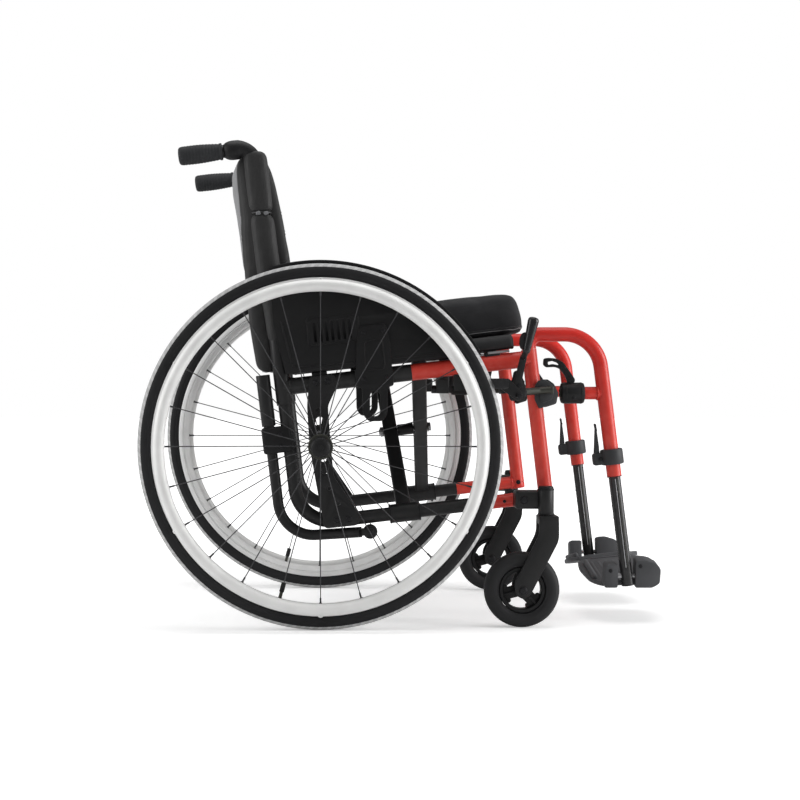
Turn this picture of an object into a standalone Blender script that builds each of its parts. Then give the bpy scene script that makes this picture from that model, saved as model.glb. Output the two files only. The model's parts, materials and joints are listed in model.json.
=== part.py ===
"""Folding wheelchair with a cross-brace, swing-away footrests and quick-release wheels.

Metres, +Z up, +X forward, +Y to the chair's left. The origin lies on the floor, midway along
the chair's length and width. Each side's pieces are made by the same functions, with side -1
for the right and +1 for the left.
"""

import math

import bmesh
import bpy
from mathutils import Matrix, Vector

# Clearances
SEAT_GAP = 0.0003          # between pieces that touch
RUNNING_GAP = 0.0004       # around pins that turn or slide
CLOTH_GAP = 0.0006         # between fabric and the tube it covers

# Drive wheels
WHEEL_RADIUS = 0.300
TYRE_DEPTH = 0.0232
TYRE_WIDTH = 0.0254
WHEEL_PLANE = 0.260        # tyre's middle, from the chair's middle
RIM_DEPTH = 0.020
RIM_WIDTH = 0.0235
SPOKES = 24
SPOKE_RADIUS = 0.0011
HUB_RADIUS = 0.0125
HUB_FLANGE_RADIUS = 0.0205
HUB_FLANGE_OFFSET = 0.022  # each flange, from the tyre's middle
HUB_LENGTH = 0.071
HANDRIM_RADIUS = WHEEL_RADIUS - 0.0384
HANDRIM_TUBE_RADIUS = 0.0098
HANDRIM_OFFSET = 0.040     # from the tyre's middle
HANDRIM_TABS = 6
TAB_RADIUS = 0.0035
AXLE_RADIUS = 0.0062
AXLE_CAP_RADIUS = 0.0165
AXLE_CAP_DOME = 0.008
AXLE_INNER_REACH = 0.012   # inboard of the frame's tubes
WHEEL_STEPS = 36
TUBE_SIDES = 12

# Side frame: along runs forward on the rails and rise runs up square to them, both from the
# point that is level with the frame's height and above the drive axle's place on the floor
FRAME_HEIGHT = 0.300
FRAME_PITCH = math.radians(6.6)
FRAME_HALF_WIDTH = 0.185
SEAT_TUBE_RISE = 0.1034
SEAT_TUBE_RADIUS = 0.014
LOWER_RAIL_DROP = 0.1294
LOWER_RAIL_RADIUS = 0.0115
POST_FOOT_ALONG = -0.0505
POST_LEAN = math.radians(0.3)
POST_RADIUS = 0.0125
POST_TOP_RISE = 0.200
POST_BEND_RADIUS = 0.059
FRONT_TUBE_ALONG = 0.3675
FRONT_TUBE_RADIUS = 0.0125
SEAT_TUBE_JOINT_ALONG = 0.166
LOWER_RAIL_JOINT_ALONG = 0.249
SADDLE_LENGTH = 0.026
SADDLE_WIDTH = 0.016
REAR_SADDLE_ALONG = 0.012
FRONT_SADDLE_ALONG = 0.305

# Axle plate
PLATE_THICKNESS = 0.008
PLATE_INNER_FACE = 0.0105  # outboard of the tubes' plane
AXLE_SLEEVE_RADIUS = 0.0115

# Cross-brace
ARM_A_ALONG = 0.128
ARM_B_ALONG = 0.182
ARM_WIDTH = 0.025
ARM_THICKNESS = 0.012
SLEEVE_WALL = 0.0035
SLEEVE_LENGTH = 0.052
RAIL_ABOVE_SEAT_TUBE = 0.031
SEAT_RAIL_RADIUS = 0.011
SEAT_RAIL_REAR = -0.035
SEAT_RAIL_FRONT = 0.335
PIVOT_RADIUS = 0.0052
PIVOT_SPACER_RADIUS = 0.010
PIVOT_HEAD_RADIUS = 0.0085
PIVOT_HEAD_THICKNESS = 0.006

# Casters
CASTER_RADIUS = 0.0625
CASTER_WIDTH = 0.027
CASTER_HUB_RADIUS = 0.0380
CASTER_HUB_WALL = 0.0065
CASTER_BOSS_RADIUS = 0.011
CASTER_SPOKES = 3
CASTER_SPOKE_WIDTH = 0.012
CASTER_PLANE = 0.230
CASTER_TRAIL = 0.0405
STEM_FORWARD = 0.3735      # from the drive axle
STEM_RADIUS = 0.006
STEM_HOUSING_RADIUS = 0.0130
HOUSING_TOP = 0.229
HOUSING_BOTTOM = 0.1860
HOUSING_LENGTH = 0.050
HOUSING_BLOCK_TOP = 0.2250
HOUSING_BLOCK_BOTTOM = 0.1950
FORK_TOP_WIDTH = 0.0326
FORK_LEG_WIDTH = 0.029
FORK_LEG_THICKNESS = 0.005
FORK_CROWN_HEIGHT = 0.014
FORK_STRAIGHT = 0.034
CASTER_AXLE_RADIUS = 0.004
CASTER_STEPS = 24

# Footrests
HANGER_RADIUS = 0.0122
HANGER_TOP_HEIGHT = 0.4860
HANGER_REAR_BEND = 0.80              # bend's radius, as a share of the rise before it
HANGER_FRONT_BEND = 0.062
DOWN_TUBE_TOP = (0.4745, 0.415)     # forward of the axle and height, on the down tube's line
DOWN_TUBE_FOOT = (0.5180, 0.063)
HANGER_END_HEIGHT = 0.246
HANGER_PIN_RADIUS = 0.0070
HANGER_PIN_LENGTH = 0.045
STUB_HEIGHT = 0.387
EXTENSION_RADIUS = 0.0100
EXTENSION_INSIDE = 0.080
EXTENSION_TRAVEL = 0.018
CLAMP_WALL = 0.0065
CLAMP_HEIGHT = 0.026
CLAMP_CENTRE_HEIGHT = 0.280
CLAMP_LEVER_LENGTH = 0.056
LATCH_REAR = 0.4045
LATCH_FRONT = 0.4440
LATCH_RADIUS = 0.018
FOOT_HINGE_HEIGHT = 0.079
FOOT_PIN_RADIUS = 0.004
FOOTPLATE_REAR = 0.460
FOOTPLATE_FRONT = 0.571
FOOTPLATE_INNER_GAP = 0.0225         # from the chair's middle to the plate's inner edge
FOOTPLATE_THICKNESS = 0.0075
FOOTPLATE_RISE = math.radians(9.0)
FOOT_WALL_TOP = 0.100
FOOT_EAR_TOP = 0.118
KNUCKLE_OUTER = 0.008               # outboard of the tubes' plane
KNUCKLE_REAR = 0.478

# Parking brake
BRAKE_PIVOT = (WHEEL_RADIUS + 0.028, 0.400)  # forward of the axle and height
BRAKE_GRIP_TOP = (WHEEL_RADIUS + 0.058, 0.516)
BRAKE_GRIP_RADIUS = 0.0091
BRAKE_GRIP_LENGTH = 0.060
BRAKE_LAYER = 0.2348                # lever's inner face, from the chair's middle
BRAKE_GRIP_PLANE = 0.2555
BRAKE_LEVER_THICKNESS = 0.005
BRAKE_CHEEK = 0.0045
BRAKE_PIN_RADIUS = 0.004
BRAKE_CLAMP_RISE = 0.044
BRAKE_CLAMP_HEIGHT = 0.042
BRAKE_CLAMP_REACH = 0.0399          # block's foremost point, ahead of the front tube
BRAKE_CLAMP_WIDTH = 0.017
BRAKE_CLAMP_WALL = 0.003
BRAKE_BOLT = (0.382, 0.3915)
BRAKE_BAR = 0.006
SHOE_PIVOT = (WHEEL_RADIUS + 0.026, 0.383)
SHOE_HEIGHT = 0.017
SHOE_LENGTH = 0.024
SHOE_RISE = 0.020                   # from the shoe's pivot up to its middle
SHOE_GAP = 0.0008                   # between the applied shoe and the tyre

# Back
BACK_TUBE_RADIUS = 0.0110
BACK_TOP_HEIGHT = 0.795
HANDLE_CORNER_HEIGHT = BACK_TOP_HEIGHT + 0.005
HANDLE_BEND = 0.026
HANDLE_REAR = -0.239
HANDLE_DROP = math.radians(6.5)
KNUCKLE_BEHIND = 0.035              # elbow's thick knuckle, from the handle's corner
KNUCKLE_RADIUS = 0.0164
KNUCKLE_LENGTH = 0.031
GRIP_LENGTH = 0.0745
GRIP_REAR_RADIUS = 0.0160
GRIP_FRONT_RADIUS = 0.0133
BACK_PAD_FOOT = BACK_TOP_HEIGHT - 0.195
BACK_SEAM_HEIGHT = BACK_TOP_HEIGHT - 0.1045
BACK_FLAP_FOOT = 0.420
BACK_SLEEVE_WALL = 0.0022
BACK_SLEEVE_REACH = 0.0205          # ahead of and behind the back tube
BACK_SLEEVE_END = 0.020             # below the panel's top, where the tube starts to bend
BACK_PAD_FORWARD = 0.037            # pad's edges, ahead of the back tubes
BACK_REAR_EDGE = 0.030              # rear cover at its edges, behind the back tubes
BACK_REAR_BOW = 0.016
BACK_SAG = 0.035                    # front face of the flap at mid width

# Side guard
GUARD_INNER_FACE = 0.0143           # outboard of the tubes' plane
GUARD_THICKNESS = 0.003
GUARD_ARC_RADIUS = WHEEL_RADIUS + 0.009
GUARD_LIP_WIDTH = 0.021
GUARD_LIP_THICKNESS = 0.0025
GUARD_VENTS = 7
SOCKET_THICKNESS = 0.005

# Seat
SLING_THICKNESS = 0.002
SLING_SAG = 0.010
CUSHION_THICKNESS = 0.067
CUSHION_HALF_WIDTH = 0.183
CUSHION_REAR = -0.036
CUSHION_FRONT = 0.3613
CUSHION_CROWN = 0.006
CUSHION_DRAW_IN = 0.005
CUSHION_STEPS = 36

# Anti-tipper, on the right side only
ANTI_TIP_BEHIND = 0.0315
ANTI_TIP_RADIUS = 0.0090
ANTI_TIP_SLEEVE_RADIUS = 0.0112
ANTI_TIP_TOP = 0.417
ANTI_TIP_SLEEVE_FOOT = 0.328
ANTI_TIP_CLAMP_CENTRE = 0.307
ANTI_TIP_CLAMP_HEIGHT = 0.044
ANTI_TIP_CORNER_HEIGHT = 0.1445
ANTI_TIP_BEND = 0.060
ANTI_TIP_ROLLER = (0.084, 0.1538)
ANTI_TIP_ROLLER_RADIUS = 0.0122
ANTI_TIP_ROLLER_WIDTH = 0.015
ANTI_TIP_CHEEK = 0.003
ANTI_TIP_PIN_RADIUS = 0.003

RIGHT = -1
LEFT = 1
SIDES = {"right": RIGHT, "left": LEFT}
AXLE_HEIGHT = WHEEL_RADIUS
AXLE_FORWARD = (WHEEL_RADIUS - FOOTPLATE_FRONT) / 2
ALONG = Vector((math.cos(FRAME_PITCH), 0, math.sin(FRAME_PITCH)))
RISE = Vector((-math.sin(FRAME_PITCH), 0, math.cos(FRAME_PITCH)))
RIM_RADIUS = WHEEL_RADIUS - TYRE_DEPTH - SEAT_GAP
SEAT_RAIL_RISE = SEAT_TUBE_RISE + RAIL_ABOVE_SEAT_TUBE
FRONT_TUBE_TOP_RISE = SEAT_TUBE_RISE + SEAT_TUBE_RADIUS + 0.0016

RED = ("red_paint", (0.61, 0.035, 0.022), 0.35, 0.0)
BLACK = ("black_paint", (0.022, 0.022, 0.024), 0.42, 0.0)
PLASTIC = ("black_plastic", (0.030, 0.030, 0.032), 0.55, 0.0)
GREY_PLASTIC = ("grey_plastic", (0.072, 0.074, 0.078), 0.60, 0.0)
RUBBER = ("grip_rubber", (0.035, 0.036, 0.038), 0.75, 0.0)
TYRE_RUBBER = ("tyre_rubber", (0.020, 0.020, 0.021), 0.80, 0.0)
ALUMINIUM = ("aluminium", (0.80, 0.80, 0.79), 0.28, 1.0)
STEEL = ("steel", (0.45, 0.45, 0.46), 0.35, 1.0)
FABRIC = ("black_fabric", (0.018, 0.018, 0.020), 0.92, 0.0)


def clear_scene():
    for item in list(bpy.data.objects):
        bpy.data.objects.remove(item, do_unlink=True)


def new_collection(name):
    collection = bpy.data.collections.new(name)
    bpy.context.scene.collection.children.link(collection)
    return collection


clear_scene()
CHAIR = new_collection("wheelchair")
MATERIALS = {}


def material(finish):
    name, colour, roughness, metallic = finish
    if name not in MATERIALS:
        made = bpy.data.materials.new(name)
        made.use_nodes = True
        shader = made.node_tree.nodes["Principled BSDF"]
        shader.inputs["Base Color"].default_value = (*colour, 1)
        shader.inputs["Roughness"].default_value = roughness
        shader.inputs["Metallic"].default_value = metallic
        MATERIALS[name] = made
    return MATERIALS[name]


# Places

def place(forward, height, side, out):
    """A point from its distance ahead of the drive axle, its height and its distance from the middle."""
    return Vector((AXLE_FORWARD + forward, side * out, height))


def on_frame(along, rise, side, out=0.0):
    """A point of the pitched side frame; out counts outboard from the tubes' plane."""
    point = Vector((AXLE_FORWARD, 0, FRAME_HEIGHT)) + ALONG * along + RISE * rise
    point.y = side * (FRAME_HALF_WIDTH + out)
    return point


def post_along(rise):
    """How far along the frame the leaning back post is at a rise."""
    return POST_FOOT_ALONG - math.tan(POST_LEAN) * (rise + LOWER_RAIL_DROP)


def post_direction():
    return (RISE * math.cos(POST_LEAN) - ALONG * math.sin(POST_LEAN)).normalized()


def post_at_height(height, side, behind=0.0):
    """The point of the back post's line at a height above the floor."""
    foot = on_frame(POST_FOOT_ALONG, -LOWER_RAIL_DROP, side)
    way = post_direction()
    point = foot + way * ((height - foot.z) / way.z)
    point.x -= behind
    return point


def down_tube_at(height, side):
    """The point of the footrest's sloping down tube at a height above the floor."""
    (top_x, top_z), (foot_x, foot_z) = DOWN_TUBE_TOP, DOWN_TUBE_FOOT
    share = (top_z - height) / (top_z - foot_z)
    return place(top_x + share * (foot_x - top_x), height, side, FRAME_HALF_WIDTH)


# Modelling tools

def link_new(name, data):
    made = bpy.data.objects.new(name, data)
    CHAIR.objects.link(made)
    return made


def bake(item):
    """Turns an object with its modifiers into a plain welded mesh in world space."""
    bpy.context.view_layer.update()
    graph = bpy.context.evaluated_depsgraph_get()
    mesh = bpy.data.meshes.new_from_object(item.evaluated_get(graph), depsgraph=graph)
    mesh.transform(item.matrix_world)
    made = link_new(item.name, mesh)
    bpy.data.objects.remove(item, do_unlink=True)
    work = bmesh.new()
    work.from_mesh(mesh)
    bmesh.ops.remove_doubles(work, verts=work.verts, dist=0.000002)
    bmesh.ops.recalc_face_normals(work, faces=work.faces)
    work.to_mesh(mesh)
    work.free()
    return made


def combine(target, operation, tools):
    """Adds other solids to one, or cuts them from it, and removes them."""
    for tool in tools:
        change = target.modifiers.new(operation.lower(), "BOOLEAN")
        change.operation = operation
        change.solver = "EXACT"
        change.object = tool
    made = bake(target)
    for tool in tools:
        bpy.data.objects.remove(tool, do_unlink=True)
    return made


def join(target, *tools):
    return combine(target, "UNION", tools)


def cut(target, *tools):
    return combine(target, "DIFFERENCE", tools)


def bend(points, radii, steps=5):
    """Replaces each inner corner of a path with an arc of the given radius."""
    path = [Vector(points[0])]
    for before, corner, after, radius in zip(points, points[1:], points[2:], radii):
        start = (Vector(before) - Vector(corner)).normalized()
        end = (Vector(after) - Vector(corner)).normalized()
        half = start.angle(end) / 2
        centre = Vector(corner) + (start + end).normalized() * (radius / math.sin(half))
        first = Vector(corner) + start * (radius / math.tan(half)) - centre
        last = Vector(corner) + end * (radius / math.tan(half)) - centre
        path += [centre + first.slerp(last, step / steps).normalized() * radius
                 for step in range(steps + 1)]
    path.append(Vector(points[-1]))
    return path


def hole_radius(radius, gap, sides=TUBE_SIDES):
    """The corner radius of a many-sided hole whose flats clear a round bar by the gap."""
    return (radius + gap) / math.cos(math.pi / sides)


def tube(path, radius):
    """A round bar along a path, closed at both ends."""
    data = bpy.data.curves.new("tube", "CURVE")
    data.dimensions = "3D"
    data.bevel_depth = radius
    data.bevel_resolution = TUBE_SIDES // 2 - 2
    data.use_fill_caps = True
    spline = data.splines.new("POLY")
    spline.points.add(len(path) - 1)
    for target, point in zip(spline.points, path):
        target.co = (*point, 1)
    return bake(link_new("tube", data))


def cylinder(start, end, radius, sides=12, end_radius=None):
    """A round or tapered bar between two points."""
    start, end = Vector(start), Vector(end)
    work = bmesh.new()
    bmesh.ops.create_cone(work, cap_ends=True, segments=sides, radius1=radius,
                          radius2=radius if end_radius is None else end_radius,
                          depth=(end - start).length)
    mesh = bpy.data.meshes.new("cylinder")
    work.to_mesh(mesh)
    work.free()
    made = link_new("cylinder", mesh)
    turn = Vector((0, 0, 1)).rotation_difference(end - start).to_matrix().to_4x4()
    made.matrix_world = Matrix.Translation((start + end) / 2) @ turn
    return bake(made)


def box(centre, size, turn=None, bevel=0.0):
    """A block with its edges rounded off by a small bevel."""
    work = bmesh.new()
    bmesh.ops.create_cube(work, size=1)
    bmesh.ops.scale(work, vec=Vector(size), verts=work.verts)
    mesh = bpy.data.meshes.new("box")
    work.to_mesh(mesh)
    work.free()
    made = link_new("box", mesh)
    made.matrix_world = Matrix.Translation(centre) @ (turn or Matrix.Identity(4))
    if bevel:
        edges = made.modifiers.new("bevel", "BEVEL")
        edges.width = bevel
        edges.segments = 1
    return bake(made)


def frame_turn():
    """Turns a block's X and Z to the pitched frame's along and rise."""
    return Matrix.Rotation(-FRAME_PITCH, 4, "Y")


def frame_box(along, rise, side, out, centre_out, bevel=0.0):
    """A block between two distances along, two rises, and over a width out of the tubes' plane."""
    centre = on_frame(sum(along) / 2, sum(rise) / 2, side, centre_out)
    size = (abs(along[1] - along[0]), out, abs(rise[1] - rise[0]))
    return box(centre, size, frame_turn(), bevel)


def flat(outline, holes, side, inner, thickness):
    """An upright plate from an outline of forward and height pairs, with holes cut through it."""
    data = bpy.data.curves.new("flat", "CURVE")
    data.dimensions = "2D"
    data.fill_mode = "BOTH"
    data.extrude = thickness / 2
    for loop in [outline, *holes]:
        spline = data.splines.new("POLY")
        spline.points.add(len(loop) - 1)
        for target, (forward, height) in zip(spline.points, loop):
            target.co = (AXLE_FORWARD + forward, height, 0, 1)
        spline.use_cyclic_u = True
    made = link_new("flat", data)
    middle = side * (inner + thickness / 2)
    made.matrix_world = Matrix.Translation((0, middle, 0)) @ Matrix.Rotation(math.pi / 2, 4, "X")
    return bake(made)


def ring_points(centre, radius, steps, start=0.0, sweep=math.tau, closed=True):
    """Points of an arc round a centre, given as forward and height pairs."""
    count = steps if closed else steps + 1
    return [(centre[0] + radius * math.cos(start + sweep * step / steps),
             centre[1] + radius * math.sin(start + sweep * step / steps))
            for step in range(count)]


def slot_points(low, high, radius, steps=4):
    """An oblong hole with round ends between two points."""
    tilt = math.atan2(high[1] - low[1], high[0] - low[0])
    upper = ring_points(high, radius, steps, tilt - math.pi / 2, math.pi, closed=False)
    lower = ring_points(low, radius, steps, tilt + math.pi / 2, math.pi, closed=False)
    return upper + lower


def turned(profile, centre, side, steps, closed=False):
    """Spins a profile of radius and outboard distance round the wheel axis through a point."""
    mesh = bpy.data.meshes.new("turned")
    count = len(profile)
    edges = [(step, (step + 1) % count) for step in range(count if closed else count - 1)]
    mesh.from_pydata([(radius, 0, out) for radius, out in profile], edges, [])
    made = link_new("turned", mesh)
    spin = made.modifiers.new("spin", "SCREW")
    spin.steps = steps
    spin.render_steps = steps
    spin.use_merge_vertices = True
    spin.merge_threshold = 0.00001
    outward = Matrix.Rotation(-side * math.pi / 2, 4, "X")
    made.matrix_world = Matrix.Translation(centre) @ outward
    return bake(made)


def finish(item, name, finish_kind, parent, pivot=None):
    """Names a solid, gives it its material and puts its origin on its pivot, under a parent."""
    item.name = name
    item.data.name = name
    origin = Vector(pivot) if pivot is not None else parent.matrix_world.translation
    item.data.transform(Matrix.Translation(-origin))
    item.parent = parent
    item.matrix_parent_inverse = parent.matrix_world.inverted()
    item.location = origin
    item.data.materials.clear()
    item.data.materials.append(material(finish_kind))
    item.data.shade_smooth()
    item.data.set_sharp_from_angle(angle=math.radians(35))
    return item


def pivot_empty(name, point, parent=None):
    """An empty on a joint's axis, which carries the pieces that move with it."""
    empty = link_new(name, None)
    empty.empty_display_size = 0.03
    if parent is not None:
        empty.parent = parent
        empty.matrix_parent_inverse = parent.matrix_world.inverted()
    empty.location = point
    bpy.context.view_layer.update()
    return empty


# Drive wheel

def tyre(side, name, parent):
    half = TYRE_WIDTH / 2
    inner = RIM_RADIUS + SEAT_GAP
    section = []
    for step in range(5):
        angle = math.pi / 2 * (1 - step / 2)
        section.append((WHEEL_RADIUS - half + half * math.cos(angle), half * math.sin(angle)))
    section.append((inner, -half * 0.72))
    section.append((inner, half * 0.72))
    centre = place(0, AXLE_HEIGHT, side, WHEEL_PLANE)
    made = turned(section, centre, side, WHEEL_STEPS, closed=True)
    return finish(made, f"drive_tyre_{name}", TYRE_RUBBER, parent)


def rim(side, name, parent):
    half = RIM_WIDTH / 2
    bed = RIM_RADIUS - RIM_DEPTH
    section = [(RIM_RADIUS, half), (RIM_RADIUS, -half), (RIM_RADIUS - RIM_DEPTH * 0.55, -half),
               (bed, -half * 0.45), (bed, half * 0.45), (RIM_RADIUS - RIM_DEPTH * 0.55, half)]
    centre = place(0, AXLE_HEIGHT, side, WHEEL_PLANE)
    made = turned(section, centre, side, WHEEL_STEPS, closed=True)
    return finish(made, f"drive_rim_{name}", ALUMINIUM, parent)


def spoked_hub(side, name, parent):
    half = HUB_LENGTH / 2
    bore = AXLE_RADIUS + RUNNING_GAP
    low, high = HUB_FLANGE_OFFSET - 0.002, HUB_FLANGE_OFFSET + 0.002
    section = [(bore, half), (HUB_RADIUS, half), (HUB_RADIUS, high), (HUB_FLANGE_RADIUS, high),
               (HUB_FLANGE_RADIUS, low), (HUB_RADIUS, low), (HUB_RADIUS, -low),
               (HUB_FLANGE_RADIUS, -low), (HUB_FLANGE_RADIUS, -high), (HUB_RADIUS, -high),
               (HUB_RADIUS, -half), (bore, -half)]
    centre = place(0, AXLE_HEIGHT, side, WHEEL_PLANE)
    hub = turned(section, centre, side, 16, closed=True)
    outer = (RIM_RADIUS - RIM_DEPTH) * math.cos(math.pi / WHEEL_STEPS) - 1.5 * SEAT_GAP
    spokes = []
    for number in range(SPOKES):
        angle = math.tau * number / SPOKES
        way = Vector((math.cos(angle), 0, math.sin(angle)))
        shift = HUB_FLANGE_OFFSET if number % 2 else -HUB_FLANGE_OFFSET
        start = centre + way * (HUB_FLANGE_RADIUS - 0.005) + Vector((0, side * shift, 0))
        spokes.append(cylinder(start, centre + way * outer, SPOKE_RADIUS, 4))
    made = join(hub, *spokes)
    return finish(made, f"spoked_hub_{name}", STEEL, parent)


def handrim(side, name, parent):
    section = [(HANDRIM_RADIUS + HANDRIM_TUBE_RADIUS * math.cos(-math.tau * step / 6),
                HANDRIM_OFFSET + HANDRIM_TUBE_RADIUS * math.sin(-math.tau * step / 6))
               for step in range(6)]
    centre = place(0, AXLE_HEIGHT, side, WHEEL_PLANE)
    ring = turned(section, centre, side, WHEEL_STEPS, closed=True)
    tabs = []
    tab_radius = RIM_RADIUS - RIM_DEPTH * 0.35
    for number in range(HANDRIM_TABS):
        angle = math.tau * (number + 0.5) / HANDRIM_TABS
        way = Vector((math.cos(angle), 0, math.sin(angle)))
        foot = centre + way * tab_radius + Vector((0, side * (RIM_WIDTH / 2 + SEAT_GAP), 0))
        head = centre + way * HANDRIM_RADIUS + Vector((0, side * HANDRIM_OFFSET, 0))
        head -= Vector((0, side * HANDRIM_TUBE_RADIUS * 0.5, 0))
        tabs.append(cylinder(foot, Vector((foot.x, head.y, foot.z)), TAB_RADIUS, 6))
    made = join(ring, *tabs)
    return finish(made, f"handrim_{name}", ALUMINIUM, parent)


def axle(side, name, parent):
    """Quick-release pin with its domed cap outside and its locking balls' collar inside."""
    inner = FRAME_HALF_WIDTH - AXLE_INNER_REACH - 0.003
    hub_end = WHEEL_PLANE + HUB_LENGTH / 2 + SEAT_GAP
    dome = [(AXLE_CAP_RADIUS * math.cos(math.pi / 2 * step / 4),
             0.004 + AXLE_CAP_DOME * math.sin(math.pi / 2 * step / 4)) for step in range(4)]
    section = [(0, 0.004 + AXLE_CAP_DOME), *reversed(dome), (AXLE_CAP_RADIUS, 0),
               (AXLE_RADIUS, 0), (AXLE_RADIUS, inner - hub_end), (0, inner - hub_end)]
    centre = place(0, AXLE_HEIGHT, side, hub_end)
    made = turned(section, centre, side, 16)
    return finish(made, f"axle_{name}", PLASTIC, parent)


# Side frame

def lower_rail_path(side, front):
    start = on_frame(post_along(POST_TOP_RISE), POST_TOP_RISE, side)
    corner = on_frame(POST_FOOT_ALONG, -LOWER_RAIL_DROP, side)
    end = on_frame(front, -LOWER_RAIL_DROP, side)
    return bend([start, corner, end], [POST_BEND_RADIUS], 6)


def seat_tube(side, rear, front, radius=SEAT_TUBE_RADIUS):
    return tube([on_frame(where, SEAT_TUBE_RISE, side) for where in (rear, front)], radius)


def seat_rail(side, rear, front, radius=SEAT_RAIL_RADIUS):
    return tube([on_frame(where, SEAT_RAIL_RISE, side) for where in (rear, front)], radius)


def saddle(side, along):
    """The cradle on the seat tube in which the seat rail comes to rest."""
    reach = (along - SADDLE_LENGTH / 2, along + SADDLE_LENGTH / 2)
    heights = (SEAT_TUBE_RISE + SEAT_TUBE_RADIUS * 0.6, SEAT_RAIL_RISE - SEAT_RAIL_RADIUS * 0.45)
    block = frame_box(reach, heights, side, SADDLE_WIDTH, 0.0)
    groove = hole_radius(SEAT_RAIL_RADIUS, SEAT_GAP)
    return cut(block, seat_rail(side, SEAT_RAIL_REAR, SEAT_RAIL_FRONT, groove))


def frame_rear(side, name, parent):
    rail = tube(lower_rail_path(side, LOWER_RAIL_JOINT_ALONG), LOWER_RAIL_RADIUS)
    collar_low = on_frame(post_along(SEAT_TUBE_RISE - 0.030), SEAT_TUBE_RISE - 0.030, side)
    collar_top = on_frame(post_along(POST_TOP_RISE), POST_TOP_RISE, side)
    collar = cylinder(collar_low, collar_top, POST_RADIUS + 0.0012, 12)
    upper = seat_tube(side, post_along(SEAT_TUBE_RISE), SEAT_TUBE_JOINT_ALONG)
    made = join(rail, collar, upper, saddle(side, REAR_SADDLE_ALONG))
    return finish(made, f"frame_rear_{name}", BLACK, parent)


def front_tube(side, low, high, radius=FRONT_TUBE_RADIUS):
    return tube([on_frame(FRONT_TUBE_ALONG, rise, side) for rise in (low, high)], radius)


def frame_front(side, name, parent):
    foot = -LOWER_RAIL_DROP
    upright = front_tube(side, foot, FRONT_TUBE_TOP_RISE)
    upper = seat_tube(side, SEAT_TUBE_JOINT_ALONG + SEAT_GAP, FRONT_TUBE_ALONG)
    lower = tube([on_frame(LOWER_RAIL_JOINT_ALONG + SEAT_GAP, foot, side),
                  on_frame(FRONT_TUBE_ALONG + 0.004, foot, side)], LOWER_RAIL_RADIUS)
    made = join(upright, upper, lower, saddle(side, FRONT_SADDLE_ALONG))
    bore_foot = FRONT_TUBE_TOP_RISE - HANGER_PIN_LENGTH - 0.003
    bore = cylinder(on_frame(FRONT_TUBE_ALONG, bore_foot, side),
                    on_frame(FRONT_TUBE_ALONG, FRONT_TUBE_TOP_RISE + 0.01, side),
                    hole_radius(HANGER_PIN_RADIUS, RUNNING_GAP))
    return finish(cut(made, bore), f"frame_front_{name}", RED, parent)


def axle_plate(side, name, parent):
    inner = FRAME_HALF_WIDTH + PLATE_INNER_FACE
    outline = [(-0.019, 0.414), (0.024, 0.419), (0.027, 0.396), (0.0125, 0.366), (0.0175, 0.300),
               (0.0225, 0.247), (0.0660, 0.184), (0.0640, 0.166), (0.0070, 0.160),
               (-0.0075, 0.236), (-0.0185, 0.300), (-0.0225, 0.366), (-0.0205, 0.388)]
    holes = [slot_points((-0.0035, 0.327), (-0.0010, 0.341), 0.0065),
             slot_points((0.0070, 0.2575), (0.0085, 0.2735), 0.0065)]
    made = flat(outline, holes, side, inner, PLATE_THICKNESS)
    sleeve = cylinder(place(0, AXLE_HEIGHT, side, FRAME_HALF_WIDTH - AXLE_INNER_REACH),
                      place(0, AXLE_HEIGHT, side, inner + PLATE_THICKNESS / 2),
                      AXLE_SLEEVE_RADIUS)
    face = inner + PLATE_THICKNESS
    screws = [(-0.008, 0.404), (0.012, 0.407), (0.028, 0.1745), (0.048, 0.1765)]
    heads = [cylinder(place(x, z, side, face - 0.002), place(x, z, side, face + 0.002), 0.005, 8)
             for x, z in screws]
    made = join(made, sleeve, *heads)
    bore = cylinder(place(0, AXLE_HEIGHT, side, FRAME_HALF_WIDTH - AXLE_INNER_REACH - 0.01),
                    place(0, AXLE_HEIGHT, side, face + 0.01), hole_radius(AXLE_RADIUS, SEAT_GAP))
    groove_upper = seat_tube(side, -0.05, 0.09, hole_radius(SEAT_TUBE_RADIUS, SEAT_GAP))
    groove_lower = tube(lower_rail_path(side, 0.12), hole_radius(LOWER_RAIL_RADIUS, SEAT_GAP))
    made = cut(made, bore, groove_upper, groove_lower)
    return finish(made, f"axle_plate_{name}", BLACK, parent)


# Cross-brace

def brace_height():
    return SEAT_RAIL_RISE + LOWER_RAIL_DROP


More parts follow.
